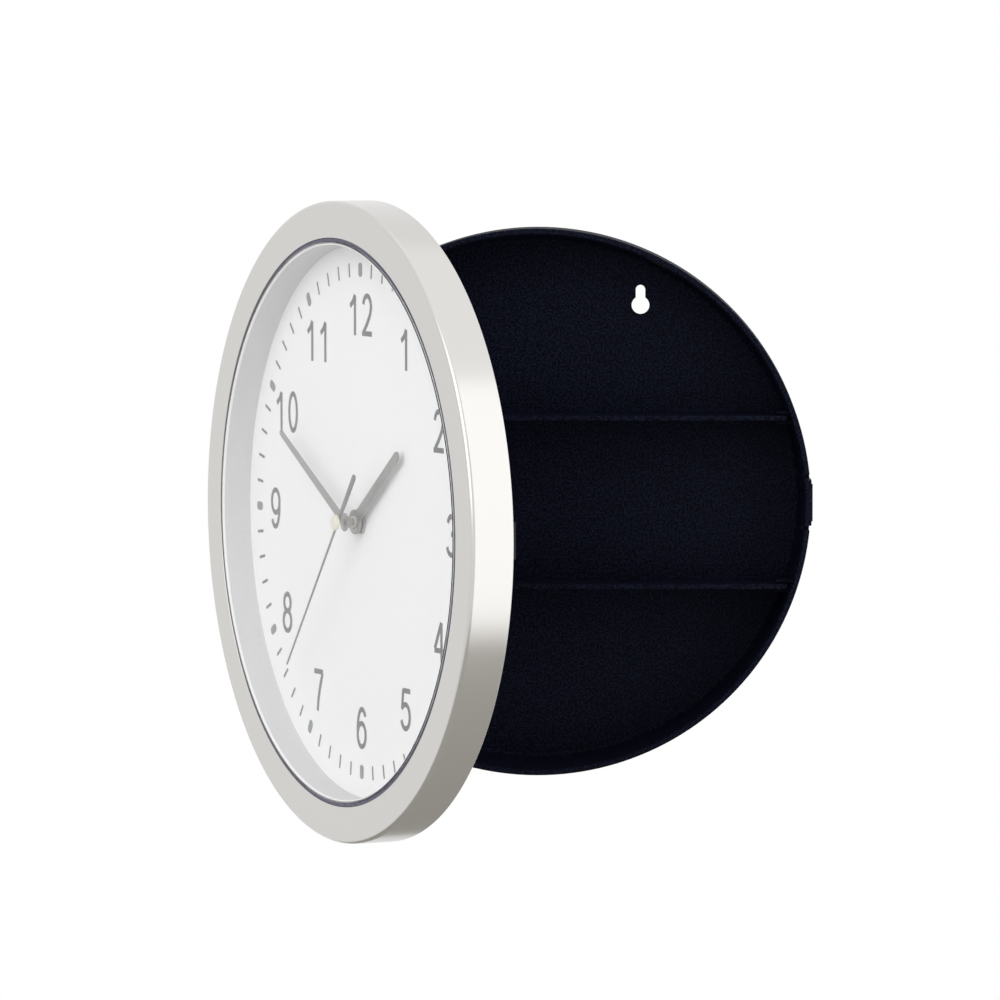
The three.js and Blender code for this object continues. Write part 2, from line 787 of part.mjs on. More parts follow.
function coverScrew(at) {
  const headFront = COVER_BACK + SEAT_GAP;
  const headBack = headFront + SCREW_HEAD;
  const shank = rod(
    at,
    SCREW_SHANK,
    headFront - SCREW_LENGTH,
    headFront + SCREW_HEAD / 2,
  );
  const head = rod(at, SCREW_HEAD_RADIUS, headFront, headBack);
  const reach = SCREW_HEAD_RADIUS * SCREW_SLOT_SHARE;
  const slots = [
    [reach, SCREW_SLOT / 2],
    [SCREW_SLOT / 2, reach],
  ].map(([halfX, halfZ]) =>
    block(
      [at.x - halfX, headBack - SCREW_SLOT, at.y - halfZ],
      [at.x + halfX, headBack + CUT_OVERRUN, at.y + halfZ],
    ),
  );
  return cut(joined(shank, head), ...slots);
}

// The movement's case: a front shell with the threaded post and a battery bay, and a lid behind.
function boardPegs() {
  const left = -HALF_MOVEMENT + MOVEMENT_WALL + 2 * BOARD_MARGIN;
  const top = HALF_MOVEMENT - MOVEMENT_WALL - 2 * BOARD_MARGIN;
  return [
    new THREE.Vector2(left, top),
    new THREE.Vector2(left + BOARD_WIDTH - 2 * BOARD_MARGIN, top),
  ];
}

function statorPegs() {
  const reach = (STATOR_SPAN - STATOR_LEG) / 2;
  return [-1, 1].map(
    (side) =>
      new THREE.Vector2(ROTOR_AT.x + side * reach, ROTOR_AT.y + STATOR_BASE),
  );
}

const BOARD_LAYER = THIRD_LAYER + PINION_FACE + LAYER_GAP;

function movementHousing() {
  const outline = roundedSquare(HALF_MOVEMENT, MOVEMENT_CORNER);
  const inside = HALF_MOVEMENT - MOVEMENT_WALL;
  const body = plate(outline, MOVEMENT_FRONT, MOVEMENT_BACK);
  const post = rod(
    AXIS,
    POST_RADIUS,
    inDoor(POST_FRONT_DEPTH),
    TRAIN_FRONT - MOVEMENT_WALL / 2,
    ROUND_SEGMENTS / 2,
  );
  const train = block(
    [-inside, TRAIN_FRONT, TRAIN_BOTTOM],
    [inside, MOVEMENT_BACK + CUT_OVERRUN, inside],
  );
  const lidSeat = block(
    [
      -HALF_MOVEMENT - CUT_OVERRUN,
      TRAIN_BACK - SEAT_GAP,
      TRAIN_BOTTOM - BAY_PARTITION / 2,
    ],
    [
      HALF_MOVEMENT + CUT_OVERRUN,
      MOVEMENT_BACK + CUT_OVERRUN,
      HALF_MOVEMENT + CUT_OVERRUN,
    ],
  );
  const bay = block(
    [-inside, MOVEMENT_FRONT + BAY_FLOOR, -inside],
    [inside, MOVEMENT_BACK + CUT_OVERRUN, BAY_TOP],
  );
  const bore = rod(
    AXIS,
    HOUR_PIPE_RADIUS + RUNNING_GAP,
    inDoor(POST_FRONT_DEPTH) - CUT_OVERRUN,
    TRAIN_FRONT + CUT_OVERRUN,
    ROUND_SEGMENTS / 2,
  );
  const pivots = [THIRD_AT, STEP_AT, ROTOR_AT, MOTION_AT].map((at) =>
    rod(
      at,
      ARBOR_RADIUS + RUNNING_GAP,
      TRAIN_FRONT - PIVOT_DEPTH,
      TRAIN_FRONT + CUT_OVERRUN,
    ),
  );
  const pegs = [
    ...boardPegs().map((at) =>
      rod(
        at,
        BOARD_MARGIN,
        TRAIN_FRONT - MOVEMENT_WALL / 2,
        BOARD_LAYER - SEAT_GAP,
      ),
    ),
    ...statorPegs().map((at) =>
      rod(
        at,
        POST_PEG_RADIUS,
        TRAIN_FRONT - MOVEMENT_WALL / 2,
        STATOR_LAYER - SEAT_GAP,
      ),
    ),
  ];
  const hollow = cut(joined(body, post), train, lidSeat, bay);
  return cut(joined(hollow, ...pegs), bore, ...pivots);
}

function movementLid() {
  const outline = roundedSquare(HALF_MOVEMENT, MOVEMENT_CORNER);
  const whole = plate(outline, TRAIN_BACK, MOVEMENT_BACK);
  const below = block(
    [
      -HALF_MOVEMENT - CUT_OVERRUN,
      TRAIN_BACK - CUT_OVERRUN,
      -HALF_MOVEMENT - CUT_OVERRUN,
    ],
    [
      HALF_MOVEMENT + CUT_OVERRUN,
      MOVEMENT_BACK + CUT_OVERRUN,
      TRAIN_BOTTOM - BAY_PARTITION / 2 + SEAT_GAP,
    ],
  );
  const pivots = [AXIS, THIRD_AT, STEP_AT, ROTOR_AT].map((at) =>
    rod(
      at,
      ARBOR_RADIUS + RUNNING_GAP,
      TRAIN_BACK - CUT_OVERRUN,
      TRAIN_BACK + PIVOT_DEPTH,
    ),
  );
  const knobHole = rod(
    MOTION_AT,
    ARBOR_RADIUS + RUNNING_GAP,
    TRAIN_BACK - CUT_OVERRUN,
    MOVEMENT_BACK + CUT_OVERRUN,
  );
  return cut(whole, below, ...pivots, knobHole);
}

function tube(inner, outer, front, back, segments = ROUND_SEGMENTS / 2) {
  return revolved(
    [
      [inner, front],
      [outer, front],
      [outer, back],
      [inner, back],
    ],
    segments,
  );
}

function shaftNut() {
  const front = DIAL_FRONT - SEAT_GAP - NUT_THICKNESS;
  const geometry = new THREE.CylinderGeometry(
    NUT_FLATS * NUT_CORNER_SHARE,
    NUT_FLATS * NUT_CORNER_SHARE,
    NUT_THICKNESS,
    NUT_SIDES,
  );
  geometry.translate(0, front + NUT_THICKNESS / 2, 0);
  const bore = rod(
    AXIS,
    POST_RADIUS + SEAT_GAP,
    front - CUT_OVERRUN,
    front + NUT_THICKNESS + CUT_OVERRUN,
    ROUND_SEGMENTS / 2,
  );
  return cut(solidOf(geometry), bore);
}

// The cell lies across the bottom of the case, between two plate contacts.
const CELL_Y = MOVEMENT_FRONT + BAY_FLOOR + SEAT_GAP + CELL_RADIUS;
const CELL_Z = BAY_TOP - SEAT_GAP - CELL_RADIUS;
const BAY_HALF = HALF_MOVEMENT - MOVEMENT_WALL;
const CONTACT_FACE = BAY_HALF - SEAT_GAP - CONTACT_THICKNESS;
const CELL_TIP = -CONTACT_FACE + SEAT_GAP;
const CELL_END = CONTACT_FACE - CONTACT_DIMPLE - SEAT_GAP;

function battery() {
  const body = CELL_TIP + CELL_NUB;
  return joined(
    level(CELL_Y, CELL_Z, CELL_RADIUS, body, CELL_END, ROUND_SEGMENTS),
    level(CELL_Y, CELL_Z, CELL_NUB_RADIUS, CELL_TIP, body + CELL_NUB),
  );
}

function contactPlate(side) {
  const [near, far] = [
    side * CONTACT_FACE,
    side * (CONTACT_FACE + CONTACT_THICKNESS),
  ];
  const half = CONTACT_WIDTH / 2;
  return block(
    [Math.min(near, far), CELL_Y - half, CELL_Z - half],
    [Math.max(near, far), CELL_Y + half, CELL_Z + half],
  );
}

function negativeContact() {
  const dimple = level(
    CELL_Y,
    CELL_Z,
    CELL_NUB_RADIUS,
    CONTACT_FACE - CONTACT_DIMPLE,
    CONTACT_FACE + CONTACT_THICKNESS / 2,
  );
  return joined(contactPlate(1), dimple);
}

// A toothed outline. One tooth stands at the phase angle and the rest follow a pitch apart,
// with straight flanks and a sharp root between them.
function toothed(teeth, module, phase, at = AXIS) {
  const pitch = (2 * Math.PI) / teeth;
  const tip = module * (teeth / 2 + ADDENDUM_SHARE);
  const root = module * (teeth / 2 - DEDENDUM_SHARE);
  const points = [];
  for (let i = 0; i < teeth; i++) {
    const middle = phase + i * pitch;
    points.push(
      polar(at, root, middle - pitch / 2),
      polar(at, tip, middle - pitch * TOOTH_TIP_SHARE),
      polar(at, tip, middle + pitch * TOOTH_TIP_SHARE),
    );
  }
  return new THREE.Shape(points);
}

// The driving gear has a tooth on the line of centres, and the driven one a gap.
function gap(teeth, angle) {
  return angle + Math.PI + Math.PI / teeth;
}

function wheel(teeth, module, phase, at, layer) {
  return plate(toothed(teeth, module, phase, at), layer, layer + WHEEL_FACE);
}

// A pinion is wider than the wheel it meets, by the same amount on both sides.
function pinion(teeth, module, phase, at, layer) {
  const front = layer - (PINION_FACE - WHEEL_FACE) / 2;
  return plate(
    toothed(teeth, module, phase, at),
    front,
    front + PINION_FACE,
  );
}

const PIVOT_FRONT = TRAIN_FRONT - PIVOT_DEPTH + SEAT_GAP;
const PIVOT_BACK = TRAIN_BACK + PIVOT_DEPTH - SEAT_GAP;
const SECOND_PLATE = inDoor(SECOND_HAND_DEPTH);
const MINUTE_PLATE = inDoor(MINUTE_HAND_DEPTH);
const HOUR_PLATE = inDoor(HOUR_HAND_DEPTH);

function rotor() {
  return joined(
    rod(ROTOR_AT, ARBOR_RADIUS, PIVOT_FRONT, PIVOT_BACK),
    pinion(
      ROTOR_PINION_TEETH,
      ROTOR_MODULE,
      ROTOR_ANGLE + Math.PI,
      ROTOR_AT,
      STEP_LAYER,
    ),
  );
}

function rotorMagnet() {
  const back = MAGNET_LAYER + MAGNET_LENGTH;
  return cut(
    rod(ROTOR_AT, MAGNET_RADIUS, MAGNET_LAYER, back, ROUND_SEGMENTS / 2),
    rod(
      ROTOR_AT,
      ARBOR_RADIUS + SEAT_GAP,
      MAGNET_LAYER - CUT_OVERRUN,
      back + CUT_OVERRUN,
    ),
  );
}

function stepWheel() {
  return joined(
    rod(STEP_AT, ARBOR_RADIUS, PIVOT_FRONT, PIVOT_BACK),
    wheel(
      STEP_WHEEL_TEETH,
      ROTOR_MODULE,
      gap(STEP_WHEEL_TEETH, ROTOR_ANGLE + Math.PI),
      STEP_AT,
      STEP_LAYER,
    ),
    pinion(
      STEP_PINION_TEETH,
      STEP_MODULE,
      STEP_ANGLE + Math.PI,
      STEP_AT,
      SECONDS_LAYER,
    ),
  );
}

function secondsWheel() {
  const tip = SECOND_PLATE - SECOND_BOSS + SEAT_GAP;
  return joined(
    rod(AXIS, ARBOR_RADIUS, tip, PIVOT_BACK),
    wheel(
      SECONDS_WHEEL_TEETH,
      STEP_MODULE,
      gap(SECONDS_WHEEL_TEETH, STEP_ANGLE + Math.PI),
      AXIS,
      SECONDS_LAYER,
    ),
    pinion(
      SECONDS_PINION_TEETH,
      THIRD_MODULE,
      THIRD_ANGLE,
      AXIS,
      THIRD_LAYER,
    ),
  );
}

function thirdWheel() {
  return joined(
    rod(THIRD_AT, ARBOR_RADIUS, PIVOT_FRONT, PIVOT_BACK),
    wheel(
      THIRD_WHEEL_TEETH,
      THIRD_MODULE,
      gap(THIRD_WHEEL_TEETH, THIRD_ANGLE),
      THIRD_AT,
      THIRD_LAYER,
    ),
    pinion(
      THIRD_PINION_TEETH,
      MINUTE_MODULE,
      THIRD_ANGLE + Math.PI,
      THIRD_AT,
      MINUTE_LAYER,
    ),
  );
}

function minuteWheel() {
  const bore = rod(
    AXIS,
    ARBOR_RADIUS + RUNNING_GAP,
    MINUTE_PLATE - CUT_OVERRUN - MINUTE_HUB_COLLAR,
    MINUTE_LAYER + PINION_FACE + CUT_OVERRUN,
  );
  const cannon = rod(
    AXIS,
    CANNON_RADIUS,
    MINUTE_PLATE - SEAT_GAP,
    MINUTE_LAYER + WHEEL_FACE,
  );
  return cut(
    joined(
      cannon,
      wheel(
        MINUTE_WHEEL_TEETH,
        MINUTE_MODULE,
        gap(MINUTE_WHEEL_TEETH, THIRD_ANGLE + Math.PI),
        AXIS,
        MINUTE_LAYER,
      ),
      pinion(
        MINUTE_PINION_TEETH,
        MOTION_MODULE,
        MOTION_ANGLE,
        AXIS,
        MOTION_LAYER,
      ),
    ),
    bore,
  );
}

function motionWheel() {
  return joined(
    rod(
      MOTION_AT,
      ARBOR_RADIUS,
      PIVOT_FRONT,
      MOVEMENT_BACK + SEAT_GAP + KNOB_SOCKET,
    ),
    wheel(
      MOTION_WHEEL_TEETH,
      MOTION_MODULE,
      gap(MOTION_WHEEL_TEETH, MOTION_ANGLE),
      MOTION_AT,
      MOTION_LAYER,
    ),
    pinion(
      MOTION_PINION_TEETH,
      HOUR_MODULE,
      MOTION_ANGLE + Math.PI,
      MOTION_AT,
      HOUR_LAYER,
    ),
  );
}

function hourWheel() {
  const bore = rod(
    AXIS,
    CANNON_RADIUS + RUNNING_GAP,
    HOUR_PLATE - CUT_OVERRUN,
    HOUR_LAYER + WHEEL_FACE + CUT_OVERRUN,
    ROUND_SEGMENTS / 2,
  );
  const pipe = rod(
    AXIS,
    HOUR_PIPE_RADIUS,
    HOUR_PLATE - SEAT_GAP,
    HOUR_LAYER + WHEEL_FACE,
    ROUND_SEGMENTS / 2,
  );
  return cut(
    joined(
      pipe,
      wheel(
        HOUR_WHEEL_TEETH,
        HOUR_MODULE,
        gap(HOUR_WHEEL_TEETH, MOTION_ANGLE + Math.PI),
        AXIS,
        HOUR_LAYER,
      ),
    ),
    bore,
  );
}

function settingKnob() {
  const front = MOVEMENT_BACK + SEAT_GAP;
  const points = [];
  for (let i = 0; i < 2 * KNOB_RIBS; i++) {
    const radius = i % 2 ? KNOB_RADIUS - KNOB_RIB_DEPTH : KNOB_RADIUS;
    points.push(polar(MOTION_AT, radius, (i * Math.PI) / KNOB_RIBS));
  }
  const socket = rod(
    MOTION_AT,
    ARBOR_RADIUS + SEAT_GAP,
    front - CUT_OVERRUN,
    front + KNOB_SOCKET + SEAT_GAP,
  );
  return cut(
    plate(new THREE.Shape(points), front, front + KNOB_HEIGHT),
    socket,
  );
}

// The stator is a fork with the rotor in its base and the coil's core across its legs.
function stator() {
  const half = STATOR_SPAN / 2;
  const inner = half - STATOR_LEG;
  const low = ROTOR_AT.y - STATOR_BASE / 2;
  const top = BAY_HALF - STATOR_MARGIN;
  const shoulder = ROTOR_AT.y + STATOR_BASE / 2;
  const shape = new THREE.Shape();
  shape.moveTo(ROTOR_AT.x - half, low);
  shape.lineTo(ROTOR_AT.x + half, low);
  shape.lineTo(ROTOR_AT.x + half, top);
  shape.lineTo(ROTOR_AT.x + inner, top);
  shape.lineTo(ROTOR_AT.x + inner, shoulder);
  shape.lineTo(ROTOR_AT.x - inner, shoulder);
  shape.lineTo(ROTOR_AT.x - inner, top);
  shape.lineTo(ROTOR_AT.x - half, top);
  const back = STATOR_LAYER + STATOR_THICKNESS;
  return cut(
    plate(shape, STATOR_LAYER, back),
    rod(
      ROTOR_AT,
      MAGNET_RADIUS + STATOR_GAP,
      STATOR_LAYER - CUT_OVERRUN,
      back + CUT_OVERRUN,
      ROUND_SEGMENTS / 2,
    ),
  );
}

function coil() {
  const half = STATOR_SPAN / 2;
  const winding = half - STATOR_LEG - SEAT_GAP;
  const y = STATOR_LAYER + STATOR_THICKNESS + SEAT_GAP + COIL_CORE_RADIUS;
  const z = BAY_HALF - STATOR_MARGIN - COIL_DROP;
  return joined(
    level(y, z, COIL_CORE_RADIUS, ROTOR_AT.x - half, ROTOR_AT.x + half),
    level(
      y,
      z,
      COIL_RADIUS,
      ROTOR_AT.x - winding,
      ROTOR_AT.x + winding,
      ROUND_SEGMENTS / 2,
    ),
  );
}

function circuitBoard() {
  const [first] = boardPegs();
  const left = first.x - BOARD_MARGIN;
  const top = first.y + BOARD_MARGIN;
  return block(
    [left, BOARD_LAYER, top - BOARD_HEIGHT],
    [left + BOARD_WIDTH, BOARD_LAYER + BOARD_THICKNESS, top],
  );
}

// Hands point up before they are turned to the time shown.
function taperedBar(root, tip, length, direction) {
  const shape = new THREE.Shape();
  const end = direction * (length - tip / 2);
  shape.moveTo((-direction * root) / 2, 0);
  shape.lineTo((direction * root) / 2, 0);
  shape.lineTo((direction * tip) / 2, end);
  shape.quadraticCurveTo(
    (direction * tip) / 2,
    direction * length,
    0,
    direction * length,
  );
  shape.quadraticCurveTo(
    (-direction * tip) / 2,
    direction * length,
    (-direction * tip) / 2,
    end,
  );
  return shape;
}

function handBlade(shape, front) {
  return plate(shape, front, front + HAND_THICKNESS, 2 * ARC_STEPS);
}

function hourHand() {
  const skirtBack = HOUR_PLATE + HAND_THICKNESS + HOUR_HUB_SKIRT;
  const hub = rod(
    AXIS,
    HOUR_HUB_RADIUS,
    HOUR_PLATE,
    skirtBack,
    ROUND_SEGMENTS,
  );
  const bore = rod(
    AXIS,
    HOUR_PIPE_RADIUS + SEAT_GAP,
    HOUR_PLATE - CUT_OVERRUN,
    skirtBack + CUT_OVERRUN,
    ROUND_SEGMENTS / 2,
  );
  const bar = taperedBar(HOUR_HAND_ROOT, HOUR_HAND_TIP, HOUR_HAND_LENGTH, 1);
  return cut(joined(hub, handBlade(bar, HOUR_PLATE)), bore);
}

function minuteHand() {
  const collarBack = MINUTE_PLATE + HAND_THICKNESS + MINUTE_HUB_COLLAR;
  const hub = joined(
    rod(
      AXIS,
      MINUTE_HUB_RADIUS,
      MINUTE_PLATE,
      MINUTE_PLATE + HAND_THICKNESS,
      ROUND_SEGMENTS,
    ),
    rod(
      AXIS,
      (CANNON_RADIUS + MINUTE_HUB_RADIUS) / 2,
      MINUTE_PLATE,
      collarBack,
      ROUND_SEGMENTS / 2,
    ),
  );
  const bore = rod(
    AXIS,
    CANNON_RADIUS + SEAT_GAP,
    MINUTE_PLATE - CUT_OVERRUN,
    collarBack + CUT_OVERRUN,
  );
  const bar = taperedBar(
    MINUTE_HAND_ROOT,
    MINUTE_HAND_TIP,
    MINUTE_HAND_LENGTH,
    1,
  );
  return cut(joined(hub, handBlade(bar, MINUTE_PLATE)), bore);
}

// The second hand: a needle, a wider tail that balances it, and a blind boss on the arbor.
function secondHand() {
  const bossFront = SECOND_PLATE - SECOND_BOSS;
  const bossBack = SECOND_PLATE + HAND_THICKNESS;
  const needle = taperedBar(
    SECOND_HAND_ROOT,
    SECOND_HAND_TIP,
    SECOND_HAND_LENGTH,
    1,
  );
  const tail = taperedBar(
    SECOND_TAIL_ROOT,
    SECOND_TAIL_TIP,
    SECOND_TAIL_LENGTH,
    -1,
  );
  return cut(
    joined(
      rod(
        AXIS,
        SECOND_BOSS_RADIUS,
        bossFront,
        bossBack,
        ROUND_SEGMENTS / 2,
      ),
      handBlade(needle, SECOND_PLATE),
      handBlade(tail, SECOND_PLATE),
    ),
    rod(
      AXIS,
      ARBOR_RADIUS + SEAT_GAP,
      bossFront - CUT_OVERRUN,
      bossBack + CUT_OVERRUN,
    ),
  );
}

function secondHandCap() {
  const back = SECOND_PLATE - SEAT_GAP;
  const front = back - SECOND_CAP_HEIGHT;
  return revolved(
    [
      [0, front],
      ...cornerArc(
        SECOND_CAP_RADIUS - SECOND_CAP_WALL,
        front + SECOND_CAP_WALL,
        SECOND_CAP_WALL,
        -90,
        0,
      ),
      [SECOND_CAP_RADIUS, back],
      [SECOND_BOSS_RADIUS + SEAT_GAP, back],
      [SECOND_BOSS_RADIUS + SEAT_GAP, front + SECOND_CAP_WALL],
      [0, front + SECOND_CAP_WALL],
    ],
    ROUND_SEGMENTS,
  );
}

// Colours and finishes
const BLACK_ABS = { color: 0x14161c, roughness: 0.5, metalness: 0 };
const BLACK_TRIM = { color: 0x1b1d22, roughness: 0.45, metalness: 0 };
const SILVER_PAINT = { color: 0xcfcdc9, roughness: 0.4, metalness: 0.5 };
const CLEAR_ACRYLIC = {
  color: 0xf2f4f8,
  roughness: 0.05,
  metalness: 0,
  transparent: true,
  opacity: 0.15,
};
const WHITE_ABS = { color: 0xe9e9ea, roughness: 0.5, metalness: 0 };
const DIAL_WHITE = { color: 0xf0f0f2, roughness: 0.55, metalness: 0 };
const HAND_GREY = { color: 0x9c9a98, roughness: 0.4, metalness: 0.6 };
const CREAM = { color: 0xe8e3cf, roughness: 0.5, metalness: 0 };
const STEEL = { color: 0xb8babd, roughness: 0.35, metalness: 1 };
const BRASS = { color: 0xc9a85a, roughness: 0.35, metalness: 1 };
const RUBBER = { color: 0x202020, roughness: 0.9, metalness: 0 };
const NYLON = { color: 0xe6e2d6, roughness: 0.6, metalness: 0 };
const COPPER = { color: 0xb87040, roughness: 0.4, metalness: 1 };
const FERRITE = { color: 0x3a3a3c, roughness: 0.7, metalness: 0 };
const BOARD_GREEN = { color: 0x2f6b45, roughness: 0.5, metalness: 0 };
const CELL_WRAP = { color: 0x3b4652, roughness: 0.4, metalness: 0.2 };

function boxGroup() {
  const group = new THREE.Group();
  group.add(
    meshOf("box_shell", boxShell(), BLACK_ABS),
    meshOf("upper_shelf", shelf(HALF_SHELF), BLACK_ABS),
    meshOf("lower_shelf", shelf(-HALF_SHELF), BLACK_ABS),
    meshOf("hinge_pin", hingePin(), STEEL),
  );
  return group;
}

function movementGroup() {
  const group = new THREE.Group();
  group.add(
    meshOf("movement_housing", movementHousing(), BLACK_TRIM),
    meshOf("movement_lid", movementLid(), BLACK_TRIM),
    meshOf(
      "rubber_washer",
      tube(
        POST_RADIUS + SEAT_GAP,
        WASHER_RADIUS,
        DIAL_BACK + SEAT_GAP,
        MOVEMENT_FRONT - SEAT_GAP,
      ),
      RUBBER,
    ),
    meshOf("shaft_nut", shaftNut(), BRASS),
    meshOf("battery", battery(), CELL_WRAP),
    meshOf("battery_contact_positive", contactPlate(-1), STEEL),
    meshOf("battery_contact_negative", negativeContact(), STEEL),
    meshOf("stator", stator(), STEEL),
    meshOf("coil", coil(), COPPER),
    meshOf("circuit_board", circuitBoard(), BOARD_GREEN),
    meshOf("rotor", rotor(), NYLON),
    meshOf("rotor_magnet", rotorMagnet(), FERRITE),
    meshOf("step_wheel", stepWheel(), NYLON),
    meshOf("seconds_wheel", secondsWheel(), NYLON),
    meshOf("third_wheel", thirdWheel(), NYLON),
    meshOf("minute_wheel", minuteWheel(), BRASS),
    meshOf("motion_wheel", motionWheel(), NYLON),
    meshOf("hour_wheel", hourWheel(), NYLON),
    meshOf("setting_knob", settingKnob(), NYLON),
  );
  return group;
}

function handGroup() {
  const group = new THREE.Group();
  const turn = (mesh, share) => {
    mesh.rotation.y = share * 2 * Math.PI;
    return mesh;
  };
  group.add(
    turn(meshOf("hour_hand", hourHand(), HAND_GREY), HOUR_TURN_SHARE),
    turn(meshOf("minute_hand", minuteHand(), HAND_GREY), MINUTE_TURN_SHARE),
    turn(meshOf("second_hand", secondHand(), HAND_GREY), SECOND_TURN_SHARE),
    turn(meshOf("second_hand_cap", secondHandCap(), CREAM), SECOND_TURN_SHARE),
  );
  return group;
}

function doorGroup() {
  const group = new THREE.Group();
  group.add(
    meshOf("clock_ring", ring(), SILVER_PAINT),
    meshOf("lens", lens(), CLEAR_ACRYLIC),
    meshOf("reflector_ring", reflector(), WHITE_ABS),
    meshOf("dial_plate", dialPlate(), DIAL_WHITE),
    meshOf("back_cover", backCover(), BLACK_TRIM),
    movementGroup(),
    handGroup(),
  );
  screwPlaces().forEach((at, i) => {
    group.add(meshOf("cover_screw_" + (i + 1), coverScrew(at), STEEL));
  });
  group.position.set(HINGE_X, -DOOR_GAP, 0);
  return group;
}

const hinge = new THREE.Group();
hinge.position.set(-HINGE_X, -BOX_DEPTH, 0);
hinge.rotation.z = -THREE.MathUtils.degToRad(DOOR_OPEN_DEGREES);
hinge.add(doorGroup());

const clockSafe = new THREE.Group();
clockSafe.add(boxGroup(), hinge);

export default clockSafe;
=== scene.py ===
# %% [markdown]
# # A wall clock that hides a safe
# The clock is the door of a shallow round box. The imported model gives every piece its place, so
# this lesson dresses it: each visible piece is modelled again with fine edges, and every piece gets
# the finish that its real material has. Lengths are in millimetres, and `MM` makes them metres.

# %% The frame
import json
import math
from contextlib import contextmanager

import bmesh
import bpy
from mathutils import Matrix, Vector


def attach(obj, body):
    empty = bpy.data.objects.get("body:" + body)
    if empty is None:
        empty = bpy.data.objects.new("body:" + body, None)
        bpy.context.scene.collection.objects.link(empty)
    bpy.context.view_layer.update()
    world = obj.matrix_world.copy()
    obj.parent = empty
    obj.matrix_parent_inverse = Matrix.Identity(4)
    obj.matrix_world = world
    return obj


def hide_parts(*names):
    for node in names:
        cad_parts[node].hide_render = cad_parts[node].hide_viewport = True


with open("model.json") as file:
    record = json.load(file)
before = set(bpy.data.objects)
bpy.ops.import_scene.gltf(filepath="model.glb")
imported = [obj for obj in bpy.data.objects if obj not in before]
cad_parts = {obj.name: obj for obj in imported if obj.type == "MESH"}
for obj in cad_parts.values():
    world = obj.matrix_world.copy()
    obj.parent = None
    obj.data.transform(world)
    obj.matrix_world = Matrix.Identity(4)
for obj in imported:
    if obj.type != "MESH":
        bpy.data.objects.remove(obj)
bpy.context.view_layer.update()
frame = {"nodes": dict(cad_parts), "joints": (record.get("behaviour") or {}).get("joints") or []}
MM = 0.001

# %% [markdown]
# ## Places that the frame gives
# The door is one flat stack on its own axis. Working in the door's own axes keeps each profile
# simple: X to the clock's right, Y into the clock, Z up. One matrix then hangs a finished piece on
# the door. It comes from the joint that the hands turn on, so the pieces follow the frame if the
# door is redrawn.

# %% The door's place
joints = {joint["name"]: joint for joint in frame["joints"]}
spin = joints["seconds_spin"]
into_clock = Vector(spin["axis"])
up = Vector((0, 0, 1))
DOOR = Matrix.Translation(Vector(spin["pos_m"])) @ Matrix(
    (into_clock.cross(up), into_clock, up)
).transposed().to_4x4()
HINGE = Vector(joints["door_hinge"]["pos_m"]) / MM
print("hinge at", [round(v, 2) for v in HINGE], "mm")

# %% [markdown]
# ## Sizes
# Few sizes drive the rest. The clock is a common 250 mm wall clock, and its box is smaller all
# round. In the door's axes the clock's back is at zero, and what lies in front of it is negative.

# %% Sizes in millimetres
CLOCK_RADIUS = 125
CLOCK_DEPTH = 17.4
FACE_WIDTH = 15
WALL = 2.2
SEAT = 0.3
HINGE_OFF = 2
BOX_RADIUS = -HINGE.x - HINGE_OFF
BOX_DEPTH = -HINGE.y
BOX_WALL = 2.3
BOX_BACK = 2.5
OPENING = CLOCK_RADIUS - FACE_WIDTH
FLANGE = OPENING + 4
SCREW_CIRCLE = (FLANGE + CLOCK_RADIUS - WALL) / 2
LIP_BACK = 2 - CLOCK_DEPTH
LENS_FRONT = LIP_BACK + SEAT
LENS_BACK = LENS_FRONT + 1.5
REFLECTOR_FRONT = LENS_BACK + SEAT
DIAL_FRONT = 12.4 - CLOCK_DEPTH
DIAL_BACK = DIAL_FRONT + 0.8
COVER_BACK = -0.2
COVER_FRONT = COVER_BACK - 2
print("opening radius", OPENING, "dial face at", round(DIAL_FRONT, 2))

# %% [markdown]
# ## Modelling helpers
# A turned part is drawn as half a profile and spun, as a potter or a lathe would make it. Blocks
# and bars are the tools that cut it or grow on it. A boolean modifier does the cutting, and a
# narrow bevel gives the moulded edge that catches the light. Every operator works on what is
# selected, and the loaded model is still selected, so each helper clears the selection first.

# %% Start and place of a piece
FINE = 256
ROUND = 192
WELD = 1e-6


def clear():
    bpy.ops.object.select_all(action="DESELECT")


def hold(piece):
    """Make this piece the only selected one."""
    clear()
    piece.select_set(True)
    bpy.context.view_layer.objects.active = piece


@contextmanager
def editing(piece):
    """Open this piece in edit mode, and close it again."""
    hold(piece)
    bpy.ops.object.mode_set(mode="EDIT")
    yield
    bpy.ops.object.mode_set(mode="OBJECT")


def moved(x, y, z):
    """A move by millimetres."""
    return Matrix.Translation(Vector((x, y, z)) * MM)


def place(piece, matrix):
    """Put a piece somewhere and write that place into its mesh."""
    hold(piece)
    piece.matrix_world = matrix @ piece.matrix_world
    bpy.ops.object.transform_apply(location=True, rotation=True, scale=True)
    return piece


def settled(name):
    """Name the primitive just added, and write its place into its mesh."""
    piece = bpy.context.object
    piece.name = name
    bpy.ops.object.transform_apply(location=True, rotation=True, scale=True)
    return piece


def weld_all():
    """In edit mode, merge doubled vertices and turn every face outwards."""
    bpy.ops.mesh.select_all(action="SELECT")
    bpy.ops.mesh.remove_doubles(threshold=WELD)
    bpy.ops.mesh.normals_make_consistent(inside=False)


# %% Turned pieces
def in_order():
    """In edit mode, number edges and faces by their vertices. A spin leaves them in an order that
    changes from run to run, and a boolean then cuts the same shape in another way."""
    shape = bmesh.from_edit_mesh(bpy.context.object.data)
    shape.verts.index_update()
    for items in (shape.edges, shape.faces):
        ranked = sorted(items, key=lambda item: sorted(v.index for v in item.verts))
        for rank, item in enumerate(ranked):
            item.index = rank
        items.sort()
    bmesh.update_edit_mesh(bpy.context.object.data)


